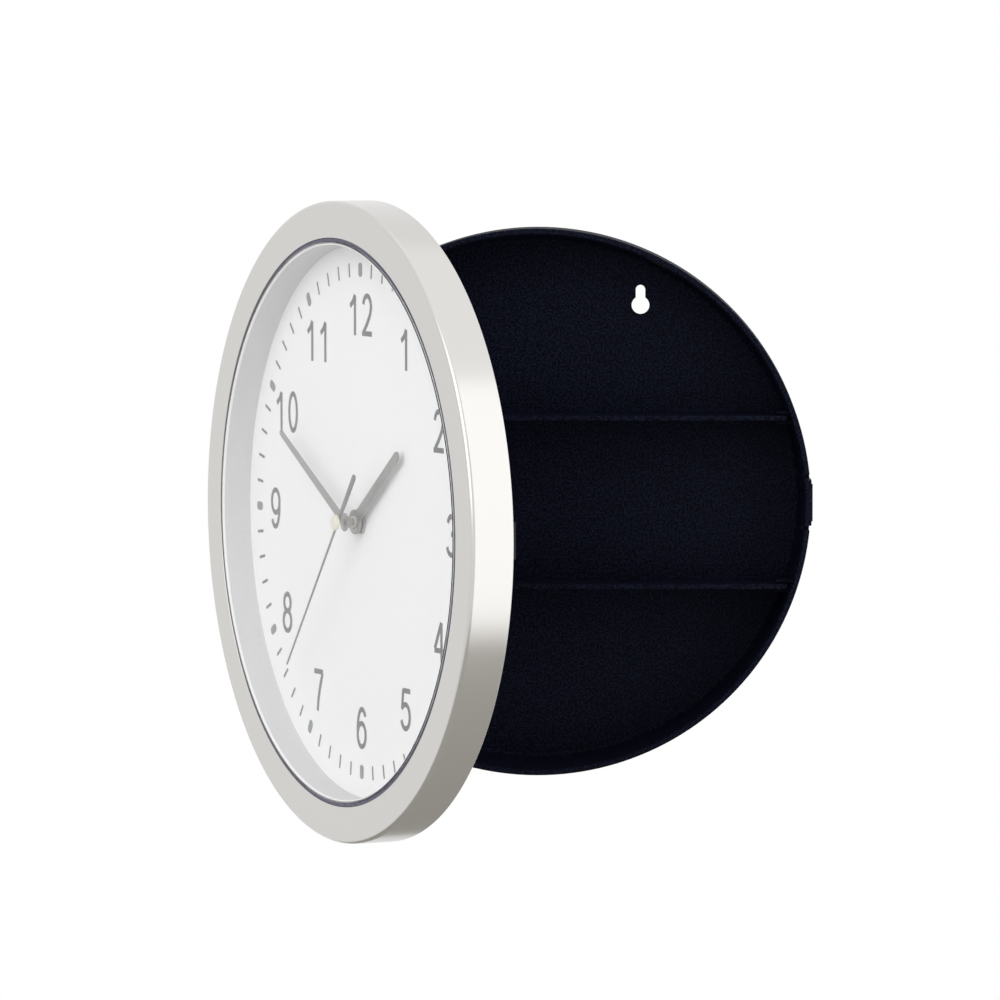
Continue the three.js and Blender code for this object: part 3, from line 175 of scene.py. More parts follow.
def turned(name, profile, segments=ROUND):
    """Spin a half profile of (radius, depth) points round the Y axis. It may end on the axis."""
    clear()
    bpy.ops.mesh.primitive_plane_add(size=MM)
    piece = settled(name)
    path = list(profile)
    if path[0][0] > 0 or path[-1][0] > 0:
        path.append(path[0])
    with editing(piece):
        bpy.ops.mesh.select_mode(type="VERT")
        bpy.ops.mesh.merge(type="CENTER")
        bpy.ops.transform.translate(value=(path[0][0] * MM, path[0][1] * MM, 0))
        for (r0, y0), (r1, y1) in zip(path, path[1:]):
            step = ((r1 - r0) * MM, (y1 - y0) * MM, 0)
            bpy.ops.mesh.extrude_vertices_move(TRANSFORM_OT_translate={"value": step})
        bpy.ops.mesh.select_all(action="SELECT")
        bpy.ops.mesh.remove_doubles(threshold=WELD)
        bpy.ops.mesh.spin(steps=segments, angle=math.tau, center=(0, 0, 0), axis=(0, 1, 0))
        weld_all()
        in_order()
    return piece


def oval(x, y, rx, ry, start, end, steps=24):
    """Points on an oval, from one angle in degrees to another."""
    angles = [math.radians(start + (end - start) * i / steps) for i in range(steps + 1)]
    return [(x + rx * math.cos(a), y + ry * math.sin(a)) for a in angles]


def arc(r, y, radius, start, end, steps=6):
    """Points of a profile on a rounded corner. 0 degrees is outwards and 90 into the clock."""
    return oval(r, y, radius, radius, start, end, steps)


# %% Blocks, bars and cuts
def block(name, low, high):
    """A block between two corners."""
    clear()
    low, high = Vector(low) * MM, Vector(high) * MM
    bpy.ops.mesh.primitive_cube_add(size=1, location=(low + high) / 2)
    bpy.context.object.scale = high - low
    return settled(name)


AXES = {"Y": (math.pi / 2, 0, 0), "Z": (0, 0, 0)}


def bar(name, axis, centre, radius, length, segments=48):
    """A round bar along one axis."""
    clear()
    bpy.ops.mesh.primitive_cylinder_add(
        vertices=segments,
        radius=radius * MM,
        depth=length * MM,
        location=Vector(centre) * MM,
        rotation=AXES[axis],
    )
    return settled(name)


def modified(piece, kind, **settings):
    """Add a modifier, set it and apply it."""
    hold(piece)
    bpy.ops.object.modifier_add(type=kind)
    step = piece.modifiers[-1]
    for key, value in settings.items():
        setattr(step, key, value)
    bpy.ops.object.modifier_apply(modifier=step.name)
    return piece


def combine(piece, how, *tools):
    """Join tools to a piece, or cut them out of it, and use them up."""
    for tool in tools:
        modified(piece, "BOOLEAN", operation=how, solver="EXACT", object=tool)
        bpy.data.objects.remove(tool)
    return piece


def bored(piece, depth, radius, length, segments=48):
    """Bore a piece along Y, round the origin."""
    tool = bar("bore", "Y", (0, depth, 0), radius, length, segments)
    return combine(piece, "DIFFERENCE", tool)


def softened(piece, width, segments=2, angle=35):
    """Round every edge sharper than the angle by a width in millimetres."""
    limit = {"limit_method": "ANGLE", "angle_limit": math.radians(angle)}
    return modified(piece, "BEVEL", width=width * MM, segments=segments, **limit)


def pick(kind, test):
    """In edit mode, select only the vertices or edges that pass a test."""
    bpy.ops.mesh.select_mode(type=kind)
    bpy.ops.mesh.select_all(action="DESELECT")
    shape = bmesh.from_edit_mesh(bpy.context.object.data)
    for item in {"VERT": shape.verts, "EDGE": shape.edges}[kind]:
        if test(item):
            item.select_set(True)
    shape.select_flush_mode()
    bmesh.update_edit_mesh(bpy.context.object.data)


def along_y(edge):
    """Whether an edge runs along Y."""
    one, other = (v.co for v in edge.verts)
    return abs(one.x - other.x) < WELD and abs(one.z - other.z) < WELD


# %% [markdown]
# ## Material helpers
# Colours are written as sRGB hex values, as a paint chart gives them, and one function makes them
# linear for the renderer. One small function adds a node with its settings and its links. Nearly
# every finish here varies in tone, gloss and relief, so one function dresses a shader with all
# three.

# %% Colours and nodes
def linear(colour):
    """An sRGB hex value as a linear colour."""
    parts = [int(colour[i : i + 2], 16) / 255 for i in (0, 2, 4)]
    return [v / 12.92 if v <= 0.04045 else ((v + 0.055) / 1.055) ** 2.4 for v in parts] + [1]


def add(tree, kind, settings=None, **links):
    """Add a node, set its attributes and sockets, and link its inputs by name or number."""
    node = tree.nodes.new(kind)
    for key, value in (settings or {}).items():
        if isinstance(key, int) or key in node.inputs:
            node.inputs[key].default_value = value
        else:
            setattr(node, key, value)
    for key, source in links.items():
        spot = int(key[1:]) if key[1:].isdigit() else key.replace("_", " ")
        tree.links.new(source, node.inputs[spot])
    return node


def new_material(name, settings):
    """A material with its shader set, its node tree and Object coordinates in millimetres."""
    print("material:", name)
    material = bpy.data.materials.new(name)
    material.use_nodes = True
    tree = material.node_tree
    shader = tree.nodes["Principled BSDF"]
    for key, value in settings.items():
        shader.inputs[key].default_value = value
    spot = add(tree, "ShaderNodeTexCoord")
    scaled = add(tree, "ShaderNodeMapping", {"Scale": (1 / MM,) * 3}, Vector=spot.outputs["Object"])
    return material, tree, shader, scaled.outputs["Vector"]


# %% A shader's tone, gloss and relief
# Nearly all of a noise lies between these two values
NOISE_LOW, NOISE_HIGH = 0.3, 0.7


def dress(tree, shader, tones=None, share=None, gloss=None, pattern=None, relief=None, height=None):
    """Mix two tones by a share, vary the roughness by a pattern, and raise a relief by a height.
    Gloss is the lowest and highest roughness, and relief a strength and a depth in millimetres."""
    if tones:
        ends = {6: linear(tones[0]), 7: linear(tones[1])}
        tone = add(tree, "ShaderNodeMix", {"data_type": "RGBA", **ends}, i0=share)
        tree.links.new(tone.outputs[2], shader.inputs["Base Color"])
    if gloss:
        span = {"From Min": NOISE_LOW, "From Max": NOISE_HIGH}
        span |= {"To Min": gloss[0], "To Max": gloss[1]}
        shine = add(tree, "ShaderNodeMapRange", span, Value=pattern)
        tree.links.new(shine.outputs["Result"], shader.inputs["Roughness"])
    if relief:
        size = {"Strength": relief[0], "Distance": relief[1] * MM}
        bump = add(tree, "ShaderNodeBump", size, Height=height)
        tree.links.new(bump.outputs["Normal"], shader.inputs["Normal"])


# %% [markdown]
# ## Moulded plastic
# Most pieces are injection-moulded ABS. The steel mould was spark-eroded or textured, so the
# plastic carries a fine pebbled grain that breaks up its gloss. A noise at the size of that grain
# drives a bump, a little roughness, and a change of tone that lightens the pebbles' tops. On the
# box that lighter tone is strong: painted glints and a painted sheen. The same recipe serves all
# the plastic pieces, each with its own colour, gloss and grain.

# %% A moulded plastic
PLASTIC_UNEVEN = 0.06
PLASTIC_RELIEF = 0.6
PEBBLE_FOOT, PEBBLE_TOP = 0.4, 0.65


def moulded(name, dark, light, gloss, grain, depth, shine_level=0.5):
    """Plastic from a textured mould. The grain and its depth are in millimetres."""
    settings = {"IOR": 1.53, "Specular IOR Level": shine_level}
    material, tree, shader, place_mm = new_material(name, settings)
    noise = {"Scale": 1 / grain, "Detail": 2.0, "Roughness": 0.45}
    pebbles = add(tree, "ShaderNodeTexNoise", noise, Vector=place_mm).outputs["Fac"]
    span = {"From Min": PEBBLE_FOOT, "From Max": PEBBLE_TOP}
    # The lighter tone lies on the pebbles' tops. Where it is strong, as on the box, it is a painted
    # glint
    tops = add(tree, "ShaderNodeMapRange", span, Value=pebbles).outputs["Result"]
    gloss_range = (gloss - PLASTIC_UNEVEN, gloss + PLASTIC_UNEVEN)
    relief = (PLASTIC_RELIEF, depth)
    dress(tree, shader, (dark, light), tops, gloss_range, pebbles, relief, pebbles)
    return material


# Textured black ABS of the box. Its pebble tops are painted a lighter navy:
# painted glints and a painted navy sheen on the grain
grained_abs_painted_glints = moulded("grained_black_abs_painted_glints", "06070D", "1D2136", 0.55, 0.8, 0.2, 0.04)
# Plain black ABS of the clock's back and the movement's case: a finer, tighter satin grain
satin_abs = moulded("satin_black_abs", "101116", "181A20", 0.4, 0.5, 0.03, 0.25)
# Cream ABS of the second hand's cap
cream_abs = moulded("cream_abs", "E4DEC9", "ECE7D5", 0.4, 0.6, 0.01)
# Natural acetal of the gears and the setting knob: milky, with a waxy gloss
natural_acetal = moulded("natural_acetal", "DDD9CC", "E6E2D6", 0.45, 0.4, 0.01)
# Rubber of the washer: dull and dry
soft_rubber = moulded("black_rubber", "1A1A1A", "242424", 0.8, 0.3, 0.02)

# %% [markdown]
# ## The box
# A thin round tray hangs on the wall. Its wall leans in toward the back so that it leaves the
# mould, and a fillet softens the corner inside. I spin a solid disc and the hollow that is cut from
# it, because what grows on the wall's outside is joined to the disc before the hollow trims it.

# %% The tray
DRAFT = 2
BACK_CORNER = 1.5
FILLET = 2
lip = 0.5
rim_inside = BOX_RADIUS - BOX_WALL
back_inside = rim_inside - DRAFT
tray = turned(
    "safe_box",
    [(0, 0)]
    + arc(BOX_RADIUS - BACK_CORNER, -BACK_CORNER, BACK_CORNER, 90, 0)
    + arc(BOX_RADIUS - lip, -BOX_DEPTH + lip, lip, 0, -90, 4)
    + [(0, -BOX_DEPTH)],
)
cavity = turned(
    "cavity",
    [(0, -BOX_DEPTH - 1), (rim_inside + lip, -BOX_DEPTH - 1)]
    + arc(rim_inside + lip, -BOX_DEPTH + lip, lip, -90, -180, 4)
    + arc(back_inside - FILLET, -BOX_BACK - FILLET, FILLET, 0, 90)
    + [(0, -BOX_BACK)],
)
print("tray radius", round(BOX_RADIUS, 1), "depth", round(BOX_DEPTH, 1))

# %% [markdown]
# ## Snap tongue, hinge arms and shelf grooves
# The tongue at three o'clock is a flat tab cut free by two slits, with a ridge that the clock's
# catch rides over. At nine o'clock two arms carry the hinge pin. Inside, pairs of thin rails hold
# each shelf. Booleans grow them from the tray, so they stay one moulding as on the real box.

# %% Tongue and arms
HALF_TONGUE = 9.3
PAD = BOX_RADIUS + 0.2
PAD_ROOT = BOX_RADIUS - 2
TONGUE_BACK = 12 - BOX_DEPTH
RIDGE = 1.6
RIDGE_RISE = 0.5
pad = block("pad", (PAD_ROOT, -BOX_DEPTH, -HALF_TONGUE), (PAD, TONGUE_BACK, HALF_TONGUE))
ridge = block(
    "ridge",
    (PAD_ROOT, RIDGE - BOX_DEPTH, RIDGE - HALF_TONGUE),
    (PAD + RIDGE_RISE, 2 * RIDGE - BOX_DEPTH, HALF_TONGUE - RIDGE),
)
growths = [softened(pad, 0.3), softened(ridge, 0.4, segments=3)]
KNUCKLE = 3
DOOR_KNUCKLE = 12
ARM_NEAR = DOOR_KNUCKLE + 0.4
ARM_FAR = ARM_NEAR + 12
for side in (-1, 1):
    low, high = sorted((side * ARM_NEAR, side * ARM_FAR))
    root = math.sqrt((BOX_RADIUS - BOX_WALL / 2) ** 2 - ARM_FAR**2)
    eye = bar("eye", "Z", (HINGE.x, HINGE.y, (low + high) / 2), KNUCKLE, high - low)
    arm = block("arm", (HINGE.x, HINGE.y, low), (-root, HINGE.y + KNUCKLE, high))
    growths += [softened(eye, 0.25), softened(arm, 0.25)]
combine(tray, "UNION", *growths)
combine(tray, "DIFFERENCE", cavity)
print("tongue", 2 * HALF_TONGUE, "mm wide, arms", ARM_FAR - ARM_NEAR, "mm long")

# %% Shelf grooves
HALF_SHELF = 34.3
SHELF = 2
RAIL_FRONT = -BOX_DEPTH + 7
RAIL_REACH = 6.5
RAIL = 1.2
for side in (-1, 1):
    for shelf in (-HALF_SHELF, HALF_SHELF):
        chord = math.sqrt(rim_inside**2 - shelf**2)
        inner, outer = side * (chord - RAIL_REACH), side * (chord + BOX_WALL / 2)
        for over in (-1, 1):
            near = shelf + over * (SHELF / 2 + SEAT)
            far = near + over * RAIL
            low = (min(inner, outer), RAIL_FRONT, min(near, far))
            high = (max(inner, outer), -BOX_BACK / 2, max(near, far))
            combine(tray, "UNION", softened(block("rail", low, high), 0.25))
            print("rail from", [round(v, 1) for v in low])

# %% [markdown]
# ## Slits, keyholes and bores
# Two slits free the tongue. Two keyholes hang the box on screws: a screw head goes in at the round
# part and the shank slides up the slot. The hinge needs a bore for its pin and room for the door's
# knuckle to swing.

# %% Cut the box
SLIT = 2.2
SLIT_DEPTH = 4.6
KEY_SIDE = 42
KEY_DROP = 32.1
KEY_HEAD, KEY_SHANK, KEY_RISE = 3.65, 1.95, 6.35
HALF_CUT = 4
PIN_BORE = 1.8
for side in (-1, 1):
    low, high = sorted((side * HALF_TONGUE, side * (HALF_TONGUE + SLIT)))
    inner, outer = BOX_RADIUS - SLIT_DEPTH, PAD + 1
    slit = block("slit", (inner, -BOX_DEPTH - 1, low), (outer, TONGUE_BACK, high))
    key_x, key_z = side * KEY_SIDE, BOX_RADIUS - KEY_DROP
    key_top = key_z + KEY_RISE
    head = bar("head", "Y", (key_x, 0, key_z), KEY_HEAD, 2 * HALF_CUT)
    top = bar("top", "Y", (key_x, 0, key_top), KEY_SHANK, 2 * HALF_CUT)
    low = (key_x - KEY_SHANK, -HALF_CUT, key_z)
    slot = block("slot", low, (key_x + KEY_SHANK, HALF_CUT, key_top))
    combine(tray, "DIFFERENCE", slit, combine(head, "UNION", top, slot))
swing = bar("swing", "Z", (HINGE.x, HINGE.y, 0), KNUCKLE + 0.5, 2 * ARM_NEAR)
bore = bar("bore", "Z", (HINGE.x, HINGE.y, 0), PIN_BORE, length=80)
combine(tray, "DIFFERENCE", swing, bore)
print("box faces:", len(tray.data.polygons))


# %% [markdown]
# ## Finishing a piece
# Curved faces are shaded smooth and real edges stay sharp. A weighted-normal step keeps the large
# flat faces flat beside narrow bevels. The piece then gets its material, hides the imported node it
# stands for, and rides on the body that moves it. A piece of the clock is drawn in the door's axes
# and hung there first.

# %% Finish and ride
SHARP = 32


def finished(piece, body, slot, material, *nodes):
    hold(piece)
    piece.data.materials.clear()
    piece.data.materials.append(material)
    bpy.ops.object.shade_smooth_by_angle(angle=math.radians(SHARP))
    modified(piece, "WEIGHTED_NORMAL", keep_sharp=True)
    if nodes:
        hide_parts(*nodes)
    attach(piece, body)
    print(piece.name, len(piece.data.polygons), "faces, rides on", body)
    return piece


def hung(piece, slot, material, *nodes, body="door"):
    """Hang a piece in the door's place and finish it."""
    return finished(place(piece, DOOR), body, slot, material, *nodes)


finished(tray, "box", "black_abs", grained_abs_painted_glints, "box_shell")

# %% [markdown]
# ## Shelves
# Each shelf is a flat plate that slides into its rails. Its ends follow the tray's lean. I start
# from a block, cut the sloping ends with bisect, round the front corners and soften the edges.

# %% Two shelves
SHELF_FRONT, SHELF_BACK = 2 - BOX_DEPTH, -BOX_BACK - SEAT
SHELF_PLAY = 0.5
SHELF_CORNER = 2.9
NOTCH = 2


def shelf_plate(node, height):
    """A plate that fills the tray at a height. Its back corners are cut off to clear the fillet."""
    edge = abs(height) + SHELF / 2
    slope = DRAFT / (BOX_DEPTH - BOX_BACK)

    def half_at(y):
        return math.sqrt((rim_inside - slope * (y + BOX_DEPTH)) ** 2 - edge**2) - SHELF_PLAY

    front, bend, back = SHELF_FRONT, SHELF_BACK - NOTCH, SHELF_BACK
    wide, narrow = half_at(front), half_at(bend)
    low = (-wide, front, height - SHELF / 2)
    plate = block(node + "_plate", low, (wide, back, height + SHELF / 2))
    with editing(plate):
        for side in (-1, 1):
            for outer, start, inner, end in (
                (wide, front, narrow, bend),
                (narrow, bend, narrow - NOTCH, back),
            ):
                away = Vector((side * (end - start), outer - inner, 0)).normalized()
                bpy.ops.mesh.select_all(action="SELECT")
                bpy.ops.mesh.bisect(
                    plane_co=Vector((side * outer, start, 0)) * MM,
                    plane_no=away,
                    use_fill=True,
                    clear_outer=True,
                    threshold=WELD,
                )
        pick(
            "EDGE",
            lambda e: all(v.co.y < (front + 0.01) * MM for v in e.verts)
            and abs(e.verts[0].co.x - e.verts[1].co.x) < WELD,
        )
        bpy.ops.mesh.bevel(offset=SHELF_CORNER * MM, segments=8, affect="EDGES")
    softened(plate, 0.3)
    return finished(plate, "box", "black_abs", grained_abs_painted_glints, node)


for node, height in (("upper_shelf", HALF_SHELF), ("lower_shelf", -HALF_SHELF)):
    shelf_plate(node, height)

# %% [markdown]
# ## Metals
# Zinc-plated steel has a faint blotchy bloom, a nickel plate over brass shows fine drawn streaks,
# and wound copper wire shines in short dashes under its enamel. Each is a metallic shader with a
# noise at the size of its bloom or streaks, so that its highlight isn't perfectly even.

# %% A metal
METAL_UNEVEN = 0.08
METAL_RELIEF = 0.4


def metal(name, dark, light, gloss, stretch, size, depth):
    """Metal with a stretched noise. The size and depth are in millimetres."""
    material, tree, shader, place_mm = new_material(name, {"Metallic": 1.0})
    grain = add(tree, "ShaderNodeMapping", {"Scale": stretch}, Vector=place_mm).outputs["Vector"]
    noise = {"Scale": 1 / size, "Detail": 3.0, "Roughness": 0.55}
    bloom = add(tree, "ShaderNodeTexNoise", noise, Vector=grain).outputs["Fac"]
    gloss_range = (gloss - METAL_UNEVEN, gloss + METAL_UNEVEN)
    dress(tree, shader, (dark, light), bloom, gloss_range, bloom, (METAL_RELIEF, depth), bloom)
    return material


EVEN = (1, 1, 1)
STREAKED = (1, 0.1, 1)
zinc_steel = metal("zinc_plated_steel", "A9ACB0", "C3C6C9", 0.34, EVEN, 1.6, 0.005)
nickel = metal("nickel_plated_brass", "9B9993", "B4B1AA", 0.35, STREAKED, 0.5, 0.005)
lamination = metal("motor_steel", "8F9194", "A8AAAD", 0.42, EVEN, 2.5, 0.005)
enamelled_copper = metal("enamelled_copper", "9A4F28", "C4763F", 0.3, (4, 1, 1), 1.2, 0.05)

# %% [markdown]
# ## Hinge pin
# A plain steel pin with a low head drops through the knuckles from above. It is a turned part too,
# spun lying down and then stood on end at the hinge.

# %% The pin
PIN, PIN_HEAD, PIN_CHAMFER = 1.5, 2.1, 0.4
pin_top = ARM_FAR + SEAT
pin = turned(
    "steel_hinge_pin",
    [(0, -ARM_FAR), (PIN - PIN_CHAMFER, -ARM_FAR), (PIN, PIN_CHAMFER - ARM_FAR), (PIN, pin_top)]
    + [(PIN_HEAD, pin_top)]
    + arc(1.9, ARM_FAR + 0.8, 0.5, 0, 90)
    + [(0, ARM_FAR + 1.3)],
    48,
)
STAND = Matrix.Rotation(math.pi / 2, 4, "X")
place(pin, moved(HINGE.x, HINGE.y, 0) @ STAND)
finished(pin, "box", "steel", zinc_steel, "hinge_pin")

# %% [markdown]
# ## Silver lacquer
# The ring is ABS sprayed with a silver lacquer. Aluminium flakes float in it, so it is part metal
# and part paint: it shines softly and stays bright at grazing angles. Fine flakes shift its
# roughness, and a slow, very shallow wave is the orange peel that sprayed paint dries with.

# %% Lacquer
FLAKE = 0.35
PEEL = 4.0


def silver_lacquer():
    settings = {"Metallic": 0.75, "Coat Weight": 0.15, "Coat Roughness": 0.12}
    material, tree, shader, place_mm = new_material("silver_lacquer", settings)
    patterns = []
    for size in (FLAKE, PEEL):
        noise = {"Scale": 1 / size, "Detail": 1.0}
        patterns.append(add(tree, "ShaderNodeTexNoise", noise, Vector=place_mm).outputs["Fac"])
    flake, peel = patterns
    dress(tree, shader, ("D0CECB", "D5D3D0"), flake, (0.21, 0.26), flake, (0.12, 0.03), peel)
    return material


lacquer = silver_lacquer()

# %% [markdown]
# ## The clock's ring
# The ring is a flat face, a rounded edge and a deep side wall in one thin moulding. Four bosses
# behind the face take the cover's screws. The profile is spun, and the bosses are bars joined to
# it.

# %% Ring
FACE = -CLOCK_DEPTH
EDGE = 1.75
EASE = 0.35
CHAMFER = 0.2
MOUTH = OPENING + 0.6
ring = turned(
    "silver_ring",
    [(CLOCK_RADIUS, -CHAMFER)]
    + arc(CLOCK_RADIUS - EDGE, FACE + EDGE, EDGE, 0, -90, 8)
    + arc(MOUTH + EASE, FACE + EASE, EASE, -90, -180, 4)
    + [(MOUTH, LIP_BACK), (CLOCK_RADIUS - WALL, LIP_BACK), (CLOCK_RADIUS - WALL, 0)]
    + [(CLOCK_RADIUS - CHAMFER, 0)],
    FINE,
)
screws = [
    Vector((math.cos(turn), 0, math.sin(turn))) * SCREW_CIRCLE
    for turn in (math.radians(45 + 90 * quarter) for quarter in range(4))
]
SCREW_LENGTH = 8
SCREW_HOLE = 1.5
BOSS_BACK = COVER_FRONT - SEAT
hole_front = COVER_BACK - SCREW_LENGTH
for spot in screws:
    middle = spot + Vector((0, (LIP_BACK - 1 + BOSS_BACK) / 2, 0))
    combine(ring, "UNION", bar("boss", "Y", middle, radius=3.2, length=BOSS_BACK - LIP_BACK + 1))
    middle = spot + Vector((0, (hole_front + BOSS_BACK + 1) / 2, 0))
    hole = bar("hole", "Y", middle, SCREW_HOLE, BOSS_BACK + 1 - hole_front, 24)
    combine(ring, "DIFFERENCE", hole)
hung(ring, "silver_paint", lacquer, "clock_ring")

# %% [markdown]
# ## Clear lens
# The lens is moulded acrylic, with a shallow dome that stands a little proud of the ring. It is
# drawn thinner than the real moulding, so that it doesn't bend the dial's edge out of place. Light
# has to reach the dial, so the lens lets lamp rays straight through, and it bends and mirrors only
# what the eye sees.

# %% Acrylic
SLOW_WAVE = 30.0


def clear_acrylic():
    settings = {
        "Base Color": linear("FEFEFE"),
        "IOR": 1.49,
        "Transmission Weight": 1.0,
        "Roughness": 0.02,
    }
    material, tree, shader, place_mm = new_material("clear_acrylic", settings)
    noise = {"Scale": 1 / SLOW_WAVE, "Detail": 0.0}
    wave = add(tree, "ShaderNodeTexNoise", noise, Vector=place_mm)
    dress(tree, shader, relief=(0.05, 0.02), height=wave.outputs["Fac"])
    path = add(tree, "ShaderNodeLightPath")
    through = add(tree, "ShaderNodeBsdfTransparent")
    both = add(tree, "ShaderNodeMixShader", Fac=path.outputs["Is Shadow Ray"])
    tree.links.new(shader.outputs["BSDF"], both.inputs[1])
    tree.links.new(through.outputs["BSDF"], both.inputs[2])
    tree.links.new(both.outputs["Shader"], tree.nodes["Material Output"].inputs["Surface"])
    return material


acrylic = clear_acrylic()

# %% Lens
# The lens stops short of the ring's mouth by the width of the painted shade ring
SHADE_RING_WIDTH = 1.5
LENS_EDGE = MOUTH - SHADE_RING_WIDTH
LENS_WALL = 0.5
INNER_EDGE = LENS_EDGE - LENS_WALL
DOME_TOP = -CLOCK_DEPTH - 0.3
RISE = 2.7


def dome(radius, base, steps=20):
    """A shallow bowl's profile, from the axis to its edge."""
    shares = [i / steps for i in range(steps + 1)]
    return [(radius * s, base - RISE * (1 - s * s)) for s in shares]


lens = turned(
    "clear_lens",
    dome(LENS_EDGE, DOME_TOP)
    + [(LENS_EDGE, LENS_BACK - LENS_WALL), (FLANGE, LENS_BACK - LENS_WALL)]
    + [(FLANGE, LENS_BACK), (INNER_EDGE, LENS_BACK)]
    + dome(INNER_EDGE, DOME_TOP + LENS_WALL)[::-1],
    FINE,
)
hung(lens, "clear_acrylic", acrylic, "lens")

# %% [markdown]
# ## Painted shade round the lens
# A dark grey ring fills the gap between lens and ring and stands for the gap's shadow. It is
# painted shade, the thin dark line round the lens. Its rounded top is smooth enough to take a
# little gloss from the room.

# %% Painted shade ring
# A grey-violet ring where the gap round the lens has only shadow: painted shade
shade_ring_grey = moulded("glossy_painted_gap_shade", "5A566D", "625E76", 0.3, 1.5, 0.004, 0.25)
SHADE_RING_INSIDE = LENS_EDGE + 0.02
SHADE_RING_OUTSIDE = MOUTH - 0.02
SHADE_RING_FRONT = FACE + EASE
SHADE_RING_BACK = SHADE_RING_FRONT + 0.8
CORNER = 0.3
shade_ring = turned(
    "lens_gap_shade_ring",
    [(SHADE_RING_INSIDE, SHADE_RING_BACK)]
    + arc(SHADE_RING_INSIDE + CORNER, SHADE_RING_FRONT + CORNER, CORNER, 180, 270, 4)
    + arc(SHADE_RING_OUTSIDE - CORNER, SHADE_RING_FRONT + CORNER, CORNER, 270, 360, 4)
    + [(SHADE_RING_OUTSIDE, SHADE_RING_BACK)],
    FINE,
)
hung(shade_ring, "black_rubber", shade_ring_grey)

# %% [markdown]
# ## Reflector
# Between lens and dial stands a pale wall. It closes the gap round the dial and throws light on its
# edge, and a thin collar carries it up inside the lens.

# %% Reflector
reflector_abs = moulded("satin_white_abs", "C6C6C7", "CBCBCC", 0.5, 1.2, 0.01)
DIAL_SEAT = DIAL_FRONT - 0.02
COLLAR = INNER_EDGE - 0.5
COLLAR_OUT = COLLAR + 0.4
WALL_OUT = COLLAR + 1.4
FLANGE_BACK = REFLECTOR_FRONT + 1.2
LINER_FRONT = DOME_TOP + LENS_WALL + 0.15
COLLAR_FRONT = LINER_FRONT + 0.9
reflector = turned(
    "white_reflector",
    [(COLLAR, COLLAR_FRONT), (COLLAR_OUT, COLLAR_FRONT), (COLLAR_OUT, REFLECTOR_FRONT)]
    + [(FLANGE, REFLECTOR_FRONT), (FLANGE, FLANGE_BACK), (WALL_OUT, FLANGE_BACK)]
    + [(WALL_OUT, DIAL_SEAT), (COLLAR, DIAL_SEAT)],
)
hung(reflector, "white_abs", reflector_abs, "reflector_ring")

# %% [markdown]
# ## Liner, a painted highlight
# A bright white band caps the collar, just behind the lens. It is whiter than the reflector, and
# seen through the edge of the lens it is the fine white line inside the dark shade ring: a painted
# highlight for the glint on the lens edge.

# %% Liner
# Whiter than the reflector: a painted highlight of the lens edge
lens_edge_highlight_white = moulded("painted_lens_edge_highlight", "F4F4F3", "F8F8F7", 0.45, 1.0, 0.005)
LINER_IN = COLLAR - 0.05
highlight_liner = turned(
    "liner_band_painted_highlight",
    [(LINER_IN, LINER_FRONT + 0.1), (COLLAR + 0.05, LINER_FRONT), (COLLAR_OUT, LINER_FRONT)]
    + [(COLLAR_OUT, COLLAR_FRONT), (LINER_IN, COLLAR_FRONT)],
    FINE,
)
hung(highlight_liner, "white_abs", lens_edge_highlight_white)

# %% [markdown]
# ## Dial
# The dial is a die-cut polystyrene sheet, printed white with a matt varnish. It has an even, cool
# white face. A faint mottle at the size of the varnish's grain keeps it from looking like bare
# light.

# %% Dial sheet
dial_white = moulded("matt_dial_sheet", "F6F6F7", "F9F9FA", 0.5, 0.8, 0.004)
POST_HOLE = 3.9
DIAL_RADIUS = OPENING + 2
dial = turned(
    "dial_sheet",
    [(POST_HOLE, DIAL_FRONT), (OPENING + 1.9, DIAL_FRONT), (DIAL_RADIUS, DIAL_FRONT + 0.1)]
    + [(DIAL_RADIUS, DIAL_BACK), (POST_HOLE, DIAL_BACK)],
)
hung(dial, "dial_sheet", dial_white, "dial_plate")

# %% [markdown]
# ## Printed marks
# Screen printing lays down a thin film of ink. A minute mark is a short dark bar and an hour mark a
# wider, paler one. One bar of each kind is modelled and copied round the dial. The copies of a kind
# are joined, because one screen prints them all.

# %% Copying and joining
def copied(piece, matrix):
    """A copy with its own mesh, put in its place."""
    hold(piece)
    bpy.ops.object.duplicate()
    return place(bpy.context.object, matrix)


def joined(name, pieces):
    """Join the pieces into the first one, and name it."""
    hold(pieces[0])
    for piece in pieces:
        piece.select_set(True)
    bpy.ops.object.join()
    pieces[0].name = name
    return pieces[0]


# %% Ink and marks
print_ink = moulded("grey_printing_ink", "2A2A2E", "343438", 0.45, 0.4, 0.003)
pale_ink = moulded("pale_printing_ink", "626264", "6C6C6E", 0.45, 0.4, 0.003)
INK = 0.06
MARK_RADIUS = 98.1
MARK_LENGTH = 5.6
MARK_ROUNDING = 0.42


def marks(name, width, places, ink):
    """Rounded bars at these sixtieths of a turn."""
    half = width / 2
    low, high = MARK_RADIUS - MARK_LENGTH / 2, MARK_RADIUS + MARK_LENGTH / 2
    first = block(name, (-half, DIAL_FRONT - INK, low), (half, DIAL_FRONT, high))
    with editing(first):
        pick("EDGE", along_y)
        bpy.ops.mesh.bevel(offset=MARK_ROUNDING * width * MM, segments=5, affect="EDGES")
    turns = [Matrix.Rotation(math.radians(6 * sixtieth), 4, "Y") for sixtieth in places]
    bars = [copied(first, turn) for turn in turns]
    bpy.data.objects.remove(first)
    return hung(joined(name, bars), "dial_sheet", ink)


marks("minute_marks", 1.15, [m for m in range(60) if m % 5], print_ink)
marks("hour_marks", 3.4, [m for m in range(60) if m % 5 == 0], pale_ink)

# %% [markdown]
# ## Numerals
# The numerals are a plain sans serif of even stroke. Each stroke is a curve, the path of a pen, and
# a small rectangle is its nib. The curves are made into meshes and joined before they are stood up
# on the dial, because a curve's nib would turn with it. Points are shares of a numeral's width and
# height.

